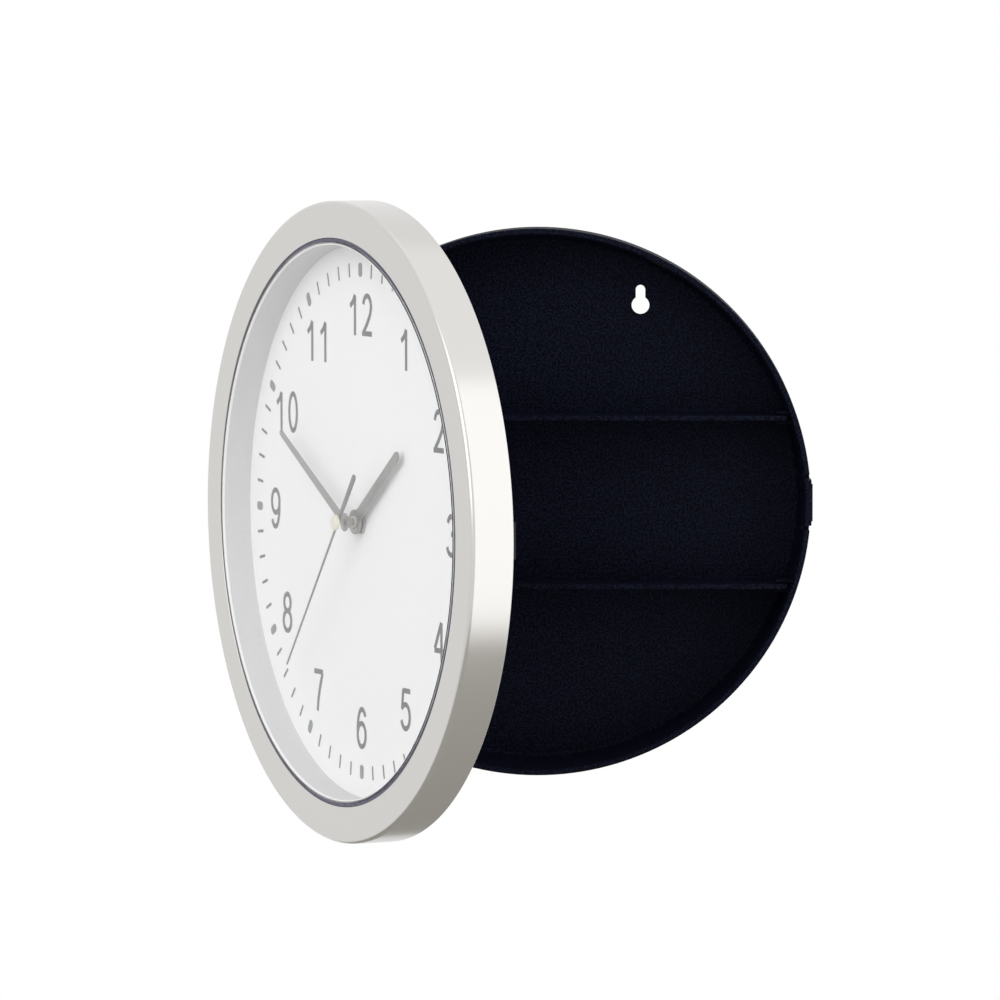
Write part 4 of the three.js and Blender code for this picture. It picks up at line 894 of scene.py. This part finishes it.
# %% Pen strokes
NUMERAL_HEIGHT = 16.7
NUMERAL_WIDTH = 9.4
STROKE = 2.0
TALL = NUMERAL_HEIGHT - STROKE
WIDE = NUMERAL_WIDTH - STROKE
EDGE_X = STROKE / 2 / WIDE
FOOT = -0.068
DIGITS = {
    "0": [oval(0.5, 0.5, 0.5, 0.5, 0, 360, 40)],
    "1": [[(0.66, FOOT), (0.66, 1.0)], [(0.66, 1.0), (0.42, 0.82), (0.06, 0.70)]],
    "2": [
        oval(0.5, 0.72, 0.48, 0.28, 170, -10)
        + [(0.86, 0.5), (0.5, 0.27), (0.1, 0.06), (0.02, 0.0)],
        [(0.0 - EDGE_X, 0.0), (1.0 + EDGE_X * 0.6, 0.0)],
    ],
    "3": [oval(0.47, 0.76, 0.43, 0.24, 165, -80), oval(0.47, 0.27, 0.53, 0.27, 95, -165)],
    "4": [
        [(0.74, 1.0), (-0.04, 0.31)],
        [(-0.08, 0.27), (1.12, 0.27)],
        [(0.76, FOOT), (0.76, 1.0)],
    ],
    "5": [
        [(0.2, 1.0), (1.0 + EDGE_X * 0.4, 1.0)],
        [(0.2, 1.03), (0.06, 0.5)],
        oval(0.47, 0.32, 0.53, 0.32, 145, -160),
    ],
    "6": [
        oval(0.54, 0.7, 0.44, 0.3, 22, 90) + oval(0.54, 0.42, 0.54, 0.58, 90, 180),
        oval(0.5, 0.31, 0.5, 0.31, 0, 360, 40),
    ],
    "7": [
        [(0.0 - EDGE_X * 0.5, 1.0), (1.0 + EDGE_X * 0.4, 1.0)],
        [(1.0, 0.97), (0.68, 0.6), (0.46, 0.25), (0.36, FOOT)],
    ],
    "8": [oval(0.5, 0.77, 0.42, 0.23, 0, 360, 40), oval(0.5, 0.27, 0.5, 0.27, 0, 360, 40)],
}
DIGITS["9"] = [[(1 - x, 1 - z) for x, z in stroke] for stroke in DIGITS["6"]]
print("strokes:", sum(len(strokes) for strokes in DIGITS.values()))


# %% The pen
def new_object(name, data):
    """An object for this data, linked into the scene."""
    made = bpy.data.objects.new(name, data)
    bpy.context.collection.objects.link(made)
    return made


def pen_nib():
    """A closed rectangle, as wide as the stroke and as thick as the ink."""
    shape = bpy.data.curves.new("nib", "CURVE")
    corners = shape.splines.new("POLY")
    corners.points.add(3)
    half, deep = STROKE / 2 * MM, INK / 2 * MM
    around = ((-half, -deep), (half, -deep), (half, deep), (-half, deep))
    for point, (x, y) in zip(corners.points, around):
        point.co = (x, y, 0, 1)
    corners.use_cyclic_u = True
    return new_object("nib", shape)


nib = pen_nib()


def pen_stroke(points):
    """One stroke of the pen as a mesh, lying flat."""
    path = bpy.data.curves.new("stroke", "CURVE")
    path.dimensions = "2D"
    path.bevel_mode = "OBJECT"
    path.bevel_object = nib
    path.use_fill_caps = True
    spline = path.splines.new("POLY")
    closed = math.dist(points[0], points[-1]) < WELD
    points = points[:-1] if closed else points
    spline.points.add(len(points) - 1)
    for point, (x, z) in zip(spline.points, points):
        point.co = (x * WIDE * MM, z * TALL * MM, 0, 1)
    spline.use_cyclic_u = closed
    hold(new_object("stroke", path))
    bpy.ops.object.convert(target="MESH")
    return bpy.context.object


def digit(figure):
    """A figure whose strokes are joined into one film of ink."""
    strokes = [pen_stroke(points) for points in DIGITS[figure]]
    for stroke in strokes:
        with editing(stroke):
            weld_all()
    return combine(strokes[0], "UNION", *strokes[1:])


# %% Twelve numerals on the dial
PITCH = 12.6
NUMERAL_RADIUS = 80.8
SIDE_REACH = 1.6
# These stand a little above or below an even ring
NUDGE = {1: -1.7, 2: -2.0, 5: 0.8, 7: 1.1, 10: -1.6, 11: -1.6}
UPRIGHT = Matrix.Rotation(math.pi / 2, 4, "X")
figures = []
for hour in range(1, 13):
    turn = math.radians(30 * hour)
    reach = NUMERAL_RADIUS + SIDE_REACH * abs(math.sin(turn))
    for index, figure in enumerate(str(hour)):
        left = (index - (len(str(hour)) - 1) / 2) * PITCH - WIDE / 2
        foot = reach * math.cos(turn) + NUDGE.get(hour, 0) - TALL / 2
        spot = moved(reach * math.sin(turn) + left, DIAL_FRONT - INK / 2, foot)
        figures.append(place(digit(figure), spot @ UPRIGHT))
bpy.data.objects.remove(nib)
hung(joined("numerals", figures), "dial_sheet", print_ink)

# %% [markdown]
# ## Hands
# The hands are blanked from thin aluminium sheet and lacquered grey, the second hand a darker grey.
# Hour and minute hands are tapered batons with a round hub, and the second hand is a needle with a
# wider tail. A baton starts as a block with its far end drawn in. Its tip is rounded, and its hub
# is a disc joined to it. All point to twelve while they are made, and then turn to the time shown.

# %% Batons and hubs
HAND = 0.5
TIP_ROUNDING = 0.49


def baton(name, front, root, tip, length, way=1):
    """A tapered bar from the clock's axis to its rounded tip, up or down."""
    low = (-root / 2, front, min(0, way * length))
    piece = block(name, low, (root / 2, front + HAND, max(0, way * length)))

    def far(v):
        return abs(v.co.z) > length * MM / 2

    with editing(piece):
        pick("VERT", far)
        taper = (tip / root, 1, 1)
        bpy.ops.transform.resize(value=taper, center_override=(0, 0, way * length * MM))
        pick("EDGE", lambda e: along_y(e) and all(far(v) for v in e.verts))
        bpy.ops.mesh.bevel(offset=TIP_ROUNDING * tip * MM, segments=8, affect="EDGES")
    return piece


def disc(front, back, radius):
    """A turned disc with its front edge eased."""
    ease = 0.1
    profile = [(0, front), (radius - ease, front), (radius, front + ease)]
    return turned("hub", profile + [(radius, back), (0, back)], 96)


def set_to_time(piece, turn, train, material, node):
    """Soften a hand, and turn it by its share of a whole turn."""
    softened(piece, 0.06, 2, 40)
    place(piece, Matrix.Rotation(turn * math.tau, 4, "Y"))
    return hung(piece, "hand_aluminium", material, node, body=train)


# %% Three hands
BRUSHED = (1, 1, 0.12)
hand_grey = metal("lacquered_aluminium", "8B8986", "9D9B98", 0.42, BRUSHED, 0.6, 0.004)
needle_grey = metal("dark_lacquered_aluminium", "66645F", "75726E", 0.42, BRUSHED, 0.6, 0.004)
HOUR_TURN, MINUTE_TURN, SECOND_TURN = 0.1522, 0.8268, 0.61
HOUR_FRONT = 9.2 - CLOCK_DEPTH
MINUTE_FRONT = 5 - CLOCK_DEPTH
SECOND_FRONT = 2.2 - CLOCK_DEPTH
HOUR_BORE, MINUTE_BORE, SECOND_BORE = 2.7, 1.5, 0.8
COLLAR_LENGTH = 1.7
THROUGH = 8

hour_hand = baton("hour_baton", HOUR_FRONT, root=5, tip=3.8, length=50)
combine(hour_hand, "UNION", disc(HOUR_FRONT, HOUR_FRONT + HAND + 0.7, radius=4.8))
bored(hour_hand, HOUR_FRONT, HOUR_BORE, THROUGH)
set_to_time(hour_hand, HOUR_TURN, "hour_train", hand_grey, "hour_hand")

minute_hand = baton("minute_baton", MINUTE_FRONT, root=3.7, tip=2.3, length=69.5)
collar = bar("collar", "Y", (0, MINUTE_FRONT + COLLAR_LENGTH / 2, 0), 2.4, COLLAR_LENGTH)
combine(minute_hand, "UNION", disc(MINUTE_FRONT, MINUTE_FRONT + HAND, radius=3.6), collar)
bored(minute_hand, MINUTE_FRONT, MINUTE_BORE, THROUGH)
set_to_time(minute_hand, MINUTE_TURN, "minute_train", hand_grey, "minute_hand")

second_hand = baton("second_needle", SECOND_FRONT, root=0.9, tip=0.6, length=77.5)
tail = baton("tail", SECOND_FRONT, root=2, tip=2.6, length=25, way=-1)
boss = bar("boss", "Y", (0, SECOND_FRONT - 0.3, 0), radius=1.6, length=1.6)
combine(second_hand, "UNION", tail, boss)
bored(second_hand, SECOND_FRONT, SECOND_BORE, 2.2 - 0.6, 24)
set_to_time(second_hand, SECOND_TURN, "seconds_train", needle_grey, "second_hand")

# %% [markdown]
# ## Second hand's cap
# A small domed plastic cap presses over the second hand's boss and hides the arbor.

# %% Cap
CAP_BACK = SECOND_FRONT - SEAT
CAP_FRONT = CAP_BACK - 1.6
CAP_ROOF = CAP_FRONT + 0.6
CAP_RADIUS, CAP_BORE = 3, 1.8
cap = turned(
    "cream_cap",
    [(0, CAP_FRONT)]
    + [(1.6, CAP_FRONT + 0.04)]
    + arc(2.2, CAP_FRONT + 0.85, 0.8, -84, 0, 6)
    + [(CAP_RADIUS, CAP_BACK), (CAP_BORE, CAP_BACK), (CAP_BORE, CAP_ROOF), (0, CAP_ROOF)],
    96,
)
hung(cap, "cream_cap", cream_abs, "second_hand_cap", body="seconds_train")

# %% [markdown]
# ## Back cover
# The cover closes the clock from behind. A rib presses the dial against the reflector, a square
# window lets the movement out, the middle knuckle and the catch grow from its edge, and four screws
# hold it.

# %% Cover
COVER_RADIUS = CLOCK_RADIUS - WALL - 0.5
COVER_CHAMFER = 0.3
RIB = OPENING - 0.6
RIB_IN = RIB - 2
RIB_FRONT = DIAL_BACK + SEAT
cover = turned(
    "black_cover",
    [(0, COVER_BACK), (COVER_RADIUS - COVER_CHAMFER, COVER_BACK)]
    + [(COVER_RADIUS, COVER_BACK - COVER_CHAMFER), (COVER_RADIUS, COVER_FRONT)]
    + [(RIB, COVER_FRONT), (RIB, RIB_FRONT), (RIB_IN, RIB_FRONT), (RIB_IN, COVER_FRONT)]
    + [(0, COVER_FRONT)],
)
HINGE_X = BOX_RADIUS + HINGE_OFF
GAP = 0.4
BEAD = 0.7
BEAD_LENGTH = 1.6
CATCH = PAD + RIDGE_RISE + SEAT + BEAD
CATCH_WALL = 2
CATCH_END = COVER_BACK + 6
HALF_CATCH = 7
knuckle = bar("knuckle", "Z", (-HINGE_X, GAP, 0), KNUCKLE, 2 * DOOR_KNUCKLE)
low = (CATCH, COVER_FRONT, -HALF_CATCH)
hook = block("hook", low, (CATCH + CATCH_WALL, CATCH_END, HALF_CATCH))
low = (CATCH - BEAD, CATCH_END - BEAD_LENGTH, -HALF_CATCH)
bead = block("bead", low, (CATCH + BEAD, CATCH_END, HALF_CATCH))
softened(bead, 0.45, segments=3)
combine(cover, "UNION", softened(knuckle, 0.25), softened(hook, 0.25), bead)


def round_corners(piece, radius):
    """Round the four corners that run along Y."""
    with editing(piece):
        pick("EDGE", along_y)
        bpy.ops.mesh.bevel(offset=radius * MM, segments=8, affect="EDGES")
    return piece


HALF_CASE = 28
CASE_CORNER = 4
CASE_PLAY = 0.6
NOTCH_LENGTH = 14.8
HALF_NOTCH = 3.5
half = HALF_CASE + CASE_PLAY
window = block("window", (-half, -4, -half), (half, 2, half))
round_corners(window, CASE_CORNER + CASE_PLAY)
pin_bore = bar("bore", "Z", (-HINGE_X, GAP, 0), PIN_BORE, 4 * DOOR_KNUCKLE)
combine(cover, "DIFFERENCE", window, pin_bore)
for side in (-1, 1):
    low, high = sorted((side * DOOR_KNUCKLE, side * (DOOR_KNUCKLE + NOTCH_LENGTH)))
    notch = block("notch", (-HINGE_X - HALF_NOTCH, -5, low), (-HINGE_X + HALF_NOTCH, 2, high))
    combine(cover, "DIFFERENCE", notch)
for spot in screws:
    combine(cover, "DIFFERENCE", bar("hole", "Y", spot, SCREW_HOLE, 10, 24))
hung(cover, "black_trim", satin_abs, "back_cover")

# %% [markdown]
# ## Cover screws
# Four plated pan-head screws with a cross recess. One is turned, its cross is cut, and the other
# three are copies, each with its own mesh.

# %% Screws
SHANK, SCREW_HEAD = 1.2, 2.6
head_front = COVER_BACK + SEAT
head_back = head_front + 1.4
first = turned(
    "cover_screw",
    [(0, head_front - SCREW_LENGTH), (0.5, head_front - SCREW_LENGTH)]
    + [(SHANK, head_front - SCREW_LENGTH + 1), (SHANK, head_front), (SCREW_HEAD, head_front)]
    + [(SCREW_HEAD, head_front + 0.5), (2.35, head_front + 1.0), (1.7, head_front + 1.3)]
    + [(0, head_back)],
    40,
)
for half_x, half_z in ((1.6, 0.3), (0.3, 1.6)):
    cross = block("cross", (-half_x, head_back - 0.7, -half_z), (half_x, head_back + 1, half_z))
    combine(first, "DIFFERENCE", cross)
for number, spot in enumerate(screws, 1):
    screw = copied(first, DOOR @ moved(*spot))
    screw.name = f"cover_screw_head_{number}"
    finished(screw, "door", "steel", zinc_steel, f"cover_screw_{number}")
bpy.data.objects.remove(first)

# %% [markdown]
# ## The movement's case
# A battery movement sits behind the dial in a square case with rounded corners. Its front shell
# carries the threaded post and the bay for one AA cell, and a lid closes the gear train. The lid is
# a separate moulding, so the step between them shows from behind.

# %% Case
CASE_FRONT = DIAL_BACK + 0.6 + 2 * SEAT
CASE_BACK = CASE_FRONT + 16
CASE_WALL = 1.4
TRAIN_FRONT = CASE_FRONT + CASE_WALL
TRAIN_BACK = CASE_BACK - 1.2
INSIDE = HALF_CASE - CASE_WALL
BAY_FLOOR = CASE_FRONT + 0.8
BAY_TOP = -INSIDE + 15
TRAIN_LOW = BAY_TOP + 1.2
LID_LOW = TRAIN_LOW - 0.6
BEYOND = HALF_CASE + 1


def case_block(name, front):
    """A block of the case's outline, from a depth to the case's back."""
    low, high = (-HALF_CASE, front, -HALF_CASE), (HALF_CASE, CASE_BACK, HALF_CASE)
    return round_corners(block(name, low, high), CASE_CORNER)


case = case_block("movement_case", CASE_FRONT)
room = block("room", (-INSIDE, TRAIN_FRONT, TRAIN_LOW), (INSIDE, CASE_BACK + 1, INSIDE))
seat = block("seat", (-BEYOND, TRAIN_BACK - SEAT, LID_LOW), (BEYOND, CASE_BACK + 1, BEYOND))
bay = block("bay", (-INSIDE, BAY_FLOOR, -INSIDE), (INSIDE, CASE_BACK + 1, BAY_TOP))
combine(case, "DIFFERENCE", room, seat, bay)
softened(case, 0.2, 2, 50)

# %% Threaded post
POST_FRONT = 10.7 - CLOCK_DEPTH
POST_BACK = TRAIN_FRONT - 0.7
POST_BORE = 2.7
CREST, ROOT = 3.6, 3.3
THREAD = 0.5
threads = []
depth = POST_FRONT + 0.1
while depth < DIAL_FRONT + 1:
    threads += [(CREST, depth), (ROOT, depth + THREAD / 2)]
    depth += THREAD
post = turned(
    "post",
    [(POST_BORE, POST_FRONT), (ROOT, POST_FRONT)]
    + threads
    + [(CREST, POST_BACK), (POST_BORE, POST_BACK)],
    64,
)
combine(case, "UNION", post)
bored(case, 0, POST_BORE, 2 * TRAIN_FRONT + 20)
hung(case, "black_trim", satin_abs, "movement_housing")

# %% Lid
lid = case_block("movement_cover", TRAIN_BACK)
low = (-BEYOND, TRAIN_BACK - 1, -BEYOND)
below = block("below", low, (BEYOND, CASE_BACK + 1, LID_LOW + SEAT))
knob_at = (DOOR.inverted() @ Vector(joints["motion_spin"]["pos_m"])) / MM
knob_hole = bar("hole", "Y", (knob_at.x, CASE_BACK, knob_at.z), 0.8, 6, 24)
combine(lid, "DIFFERENCE", below, knob_hole)
softened(lid, 0.25, 2, 50)
hung(lid, "black_trim", satin_abs, "movement_lid")

# %% [markdown]
# ## Setting knob, washer and nut
# The knob behind the lid sets the hands. Its ribs are made by drawing in two of every four edges of
# a many-sided bar. The rubber washer and the plated nut clamp the movement to the dial.

# %% Knob
KNOB, KNOB_VALLEY, KNOB_LENGTH = 4.5, 4.1, 2.6
KNOB_SIDES = 80
KNOB_FRONT = CASE_BACK + SEAT
KNOB_MIDDLE = CASE_BACK + SEAT + KNOB_LENGTH / 2
knob_centre = (knob_at.x, KNOB_MIDDLE, knob_at.z)
knob = bar("ribbed_knob", "Y", knob_centre, KNOB, KNOB_LENGTH, KNOB_SIDES)


def in_a_rib_gap(v):
    angle = math.atan2(v.co.z - knob_at.z * MM, v.co.x - knob_at.x * MM)
    return round(angle / math.radians(360 / KNOB_SIDES)) % 4 in (2, 3)


with editing(knob):
    pick("VERT", in_a_rib_gap)
    bpy.ops.transform.resize(
        value=(KNOB_VALLEY / KNOB, 1, KNOB_VALLEY / KNOB),
        center_override=tuple(v * MM for v in knob_centre),
    )
softened(knob, 0.12, 2, 50)
dish = turned("dish", [(0, 1), (0, -0.6), (2.2, -0.35), (3.0, 0.2), (3.0, 1)], 48)
place(dish, moved(knob_at.x, KNOB_FRONT + KNOB_LENGTH, knob_at.z))
socket = bar("socket", "Y", (knob_at.x, KNOB_FRONT, knob_at.z), 0.8, 3.4, 24)
combine(knob, "DIFFERENCE", dish, socket)
hung(knob, "natural_nylon", natural_acetal, "setting_knob", body="motion_train")

# %% Washer and nut
WASHER = 9
washer_front, washer_back = DIAL_BACK + SEAT, CASE_FRONT - SEAT
washer = turned(
    "soft_washer",
    [(POST_HOLE, washer_front), (WASHER, washer_front), (WASHER, washer_back)]
    + [(POST_HOLE, washer_back)],
    64,
)
hung(washer, "black_rubber", soft_rubber, "rubber_washer")

NUT = 0.8
NUT_FLATS = 9
NUT_FRONT = DIAL_FRONT - SEAT - NUT
nut = bar("brass_nut", "Y", (0, NUT_FRONT + NUT / 2, 0), NUT_FLATS / math.sqrt(3), NUT, 6)
place(nut, Matrix.Rotation(math.radians(30), 4, "Y"))
bored(nut, NUT_FRONT, POST_HOLE, 4)
softened(nut, 0.12)
hung(nut, "steel", nickel, "shaft_nut")

# %% [markdown]
# ## Battery and contacts
# One AA cell lies across the bay. It is turned with the can's tip and shoulder, and the printed
# sleeve's finish covers the whole cell, ends too. A band of a second colour tells the positive end,
# as on most cells. Its steel can shows at both ends, where the printed sleeve is
# shrunk over the shoulder. A band of a second colour tells the positive end, as on most cells.

# %% Cell
CELL_ROOM = 7.2
CELL_Y = BAY_FLOOR + SEAT + CELL_ROOM
CELL_Z = BAY_TOP - SEAT - CELL_ROOM
LEAF = 0.4
DIMPLE = 0.7
CONTACT = INSIDE - SEAT - LEAF
CELL_TIP, CELL_END = SEAT - CONTACT, CONTACT - DIMPLE - SEAT
BAND = 13.5
SPECK = 0.8


def cell_sleeve():
    """A printed film, one colour near the tip and another beyond the band."""
    material, tree, shader, place_mm = new_material("printed_cell_sleeve", {"Metallic": 0.35})
    across = DOOR.to_3x3().col[0]
    start = (DOOR @ Vector((CELL_TIP * MM, 0, 0))).dot(across) / MM
    dot = {"operation": "DOT_PRODUCT", 1: tuple(across)}
    along = add(tree, "ShaderNodeVectorMath", dot, i0=place_mm)
    past = {"operation": "GREATER_THAN", 1: start + BAND}
    band = add(tree, "ShaderNodeMath", past, i0=along.outputs["Value"]).outputs["Value"]
    noise = {"Scale": 1 / SPECK, "Detail": 1.0}
    speck = add(tree, "ShaderNodeTexNoise", noise, Vector=place_mm).outputs["Fac"]
    dress(tree, shader, ("9A7A3E", "2E3844"), band, (0.28, 0.36), speck)
    return material


sleeve = cell_sleeve()
TIP, SHOULDER, CELL_EDGE = 2.6, 6.0, 0.5
body_left = CELL_TIP + 1.2
cell = turned(
    "aa_cell",
    [(0, CELL_TIP), (2.4, CELL_TIP), (TIP, CELL_TIP + 0.2), (TIP, body_left), (5.6, body_left)]
    + [(SHOULDER, body_left + 0.3)]
    + arc(6.7, body_left + 0.6, CELL_EDGE, -120, 0, 5)
    + arc(6.7, CELL_END - 0.5, CELL_EDGE, 0, 120, 5)
    + [(SHOULDER, CELL_END - 0.1), (0, CELL_END - 0.1)],
    64,
)
LIE = Matrix.Rotation(-math.pi / 2, 4, "Z")
place(cell, moved(0, CELL_Y, CELL_Z) @ LIE)
hung(cell, "cell_wrap", sleeve, "battery")

# %% Contacts
HALF_LEAF = 4.5
for side, end in ((-1, "positive"), (1, "negative")):
    near, far = sorted((side * CONTACT, side * (CONTACT + LEAF)))
    low = (near, CELL_Y - HALF_LEAF, CELL_Z - HALF_LEAF)
    leaf = block("contact_leaf", low, (far, CELL_Y + HALF_LEAF, CELL_Z + HALF_LEAF))
    softened(leaf, 0.12)
    if side > 0:
        dimple = turned("dimple", [(0, 0), (1.6, 0.1), (2.6, 0.8), (2.6, 1.0), (0, 1.0)], 32)
        place(dimple, moved(CONTACT - DIMPLE, CELL_Y, CELL_Z) @ LIE)
        combine(leaf, "UNION", dimple)
    leaf.name = "contact_leaf_" + end
    hung(leaf, "steel", zinc_steel, "battery_contact_" + end)

# %% [markdown]
# ## Inside the movement
# The gears, the motor and the board are closed in by the case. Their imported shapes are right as
# they are, with real tooth counts, so each keeps its mesh and only gets its material. The coil is
# wound copper, the magnet is sintered ferrite, and the board is glass laminate under a green solder
# mask.

# %% Materials of the inner pieces
ferrite = moulded("sintered_ferrite", "2E2E30", "3E3E41", 0.6, 0.25, 0.02)
laminate = moulded("green_laminate", "28603C", "34734A", 0.4, 0.35, 0.01)
inner = {
    "stator": lamination,
    "coil": enamelled_copper,
    "circuit_board": laminate,
    "rotor_magnet": ferrite,
    "minute_wheel": nickel,
}
for wheel in ("rotor", "step_wheel", "seconds_wheel", "third_wheel", "motion_wheel", "hour_wheel"):
    inner[wheel] = natural_acetal
for node, material in inner.items():
    frame["nodes"][node].material_slots[0].material = material
print("inner pieces:", len(inner))

# %% [markdown]
# ## Camera
# The photograph was fitted with one perspective: a long lens from a little above and slightly to
# the right. Its place is in millimetres and its turn in degrees, in the part's frame.

# %% Camera
yaw, pitch, roll = (math.radians(v) for v in (-1.56, -4.048, -0.084))
EYE = (53.116, -2527.892, 177.96)
ahead = Vector((math.sin(yaw) * math.cos(pitch), math.cos(yaw) * math.cos(pitch), math.sin(pitch)))
level = Vector((math.cos(yaw), -math.sin(yaw), 0))
above = level.cross(ahead)
right = math.cos(roll) * level + math.sin(roll) * above
top = -math.sin(roll) * level + math.cos(roll) * above
view = bpy.data.cameras.new("camera")
view.lens = 222.04
view.sensor_width = 36
camera = new_object("camera", view)
turn = Matrix((right, top, -ahead)).transposed().to_4x4()
camera.matrix_world = moved(*EYE) @ turn
bpy.context.scene.camera = camera
print("camera at", [round(v, 3) for v in camera.location])

# %% [markdown]
# ## Floor, lamps and surroundings
# The clock hangs in a plain white studio. The surroundings are white to the eye and to reflections,
# and dimmer as light, so that pale surfaces keep their tone. A tall soft lamp at the right lights
# the ring's side wall, a brighter one at the upper left lights the dial and the face, and a weak
# one overhead fills the shadows. The pale floor lies well below, as it does under a wall clock.

# %% Floor, in metres
FLOOR_RADIUS = 2.2
FLOOR_AT = (0, -0.1, -1.3)
MOTTLE = 40.0


def studio_floor():
    clear()
    bpy.ops.mesh.primitive_circle_add(
        vertices=128, radius=FLOOR_RADIUS, fill_type="NGON", location=FLOOR_AT
    )
    floor = settled("floor")
    material, tree, shader, place_mm = new_material("pale_floor", {"Roughness": 0.9})
    noise = {"Scale": 1 / MOTTLE, "Detail": 2.0}
    mottle = add(tree, "ShaderNodeTexNoise", noise, Vector=place_mm)
    dress(tree, shader, ("C2BEB7", "C8C4BD"), mottle.outputs["Fac"])
    floor.data.materials.append(material)
    return floor


floor = studio_floor()


# %% Lamps, in metres
def soft_lamp(name, at, aim, width, height, radiance):
    """A soft box that faces a point. Its power follows from how bright its face is."""
    data = bpy.data.lights.new(name, "AREA")
    data.shape = "RECTANGLE"
    data.size = width
    data.size_y = height
    data.energy = radiance * math.pi * width * height
    lamp = new_object(name, data)
    facing = (Vector(aim) - Vector(at)).to_track_quat("-Z", "Y").to_matrix().to_4x4()
    lamp.matrix_world = Matrix.Translation(Vector(at)) @ facing
    print(name, round(data.energy, 2), "watts")


CLOCK_FACE = (0, -0.15, 0)
soft_lamp("side_lamp", (1.3, -1.15, 0.3), (0, -0.15, 0.3), 1.0, 3.0, radiance=0.75)
soft_lamp("front_lamp", (-1.1, -1.75, 1.0), (-0.05, -0.15, 0), 1.8, 1.8, radiance=1.5)
soft_lamp("top_lamp", (0.3, -0.2, 1.7), CLOCK_FACE, 2.4, 2.4, radiance=0.22)

# %% Surroundings
AMBIENT = 0.5
world = bpy.data.worlds.new("studio")
bpy.context.scene.world = world
world.use_nodes = True
tree = world.node_tree
sky = tree.nodes["Background"]
sky.inputs["Color"].default_value = (1, 1, 1, 1)
path = add(tree, "ShaderNodeLightPath")
shown = path.outputs["Is Camera Ray"]
for ray in ("Is Transmission Ray", "Is Glossy Ray"):
    most = add(tree, "ShaderNodeMath", {"operation": "MAXIMUM"}, i0=shown, i1=path.outputs[ray])
    shown = most.outputs["Value"]
strength = add(tree, "ShaderNodeMapRange", {"To Min": AMBIENT, "To Max": 1.0}, Value=shown)
tree.links.new(strength.outputs["Result"], sky.inputs["Strength"])
bpy.context.scene.view_settings.view_transform = "Standard"
print("surroundings as light:", AMBIENT)
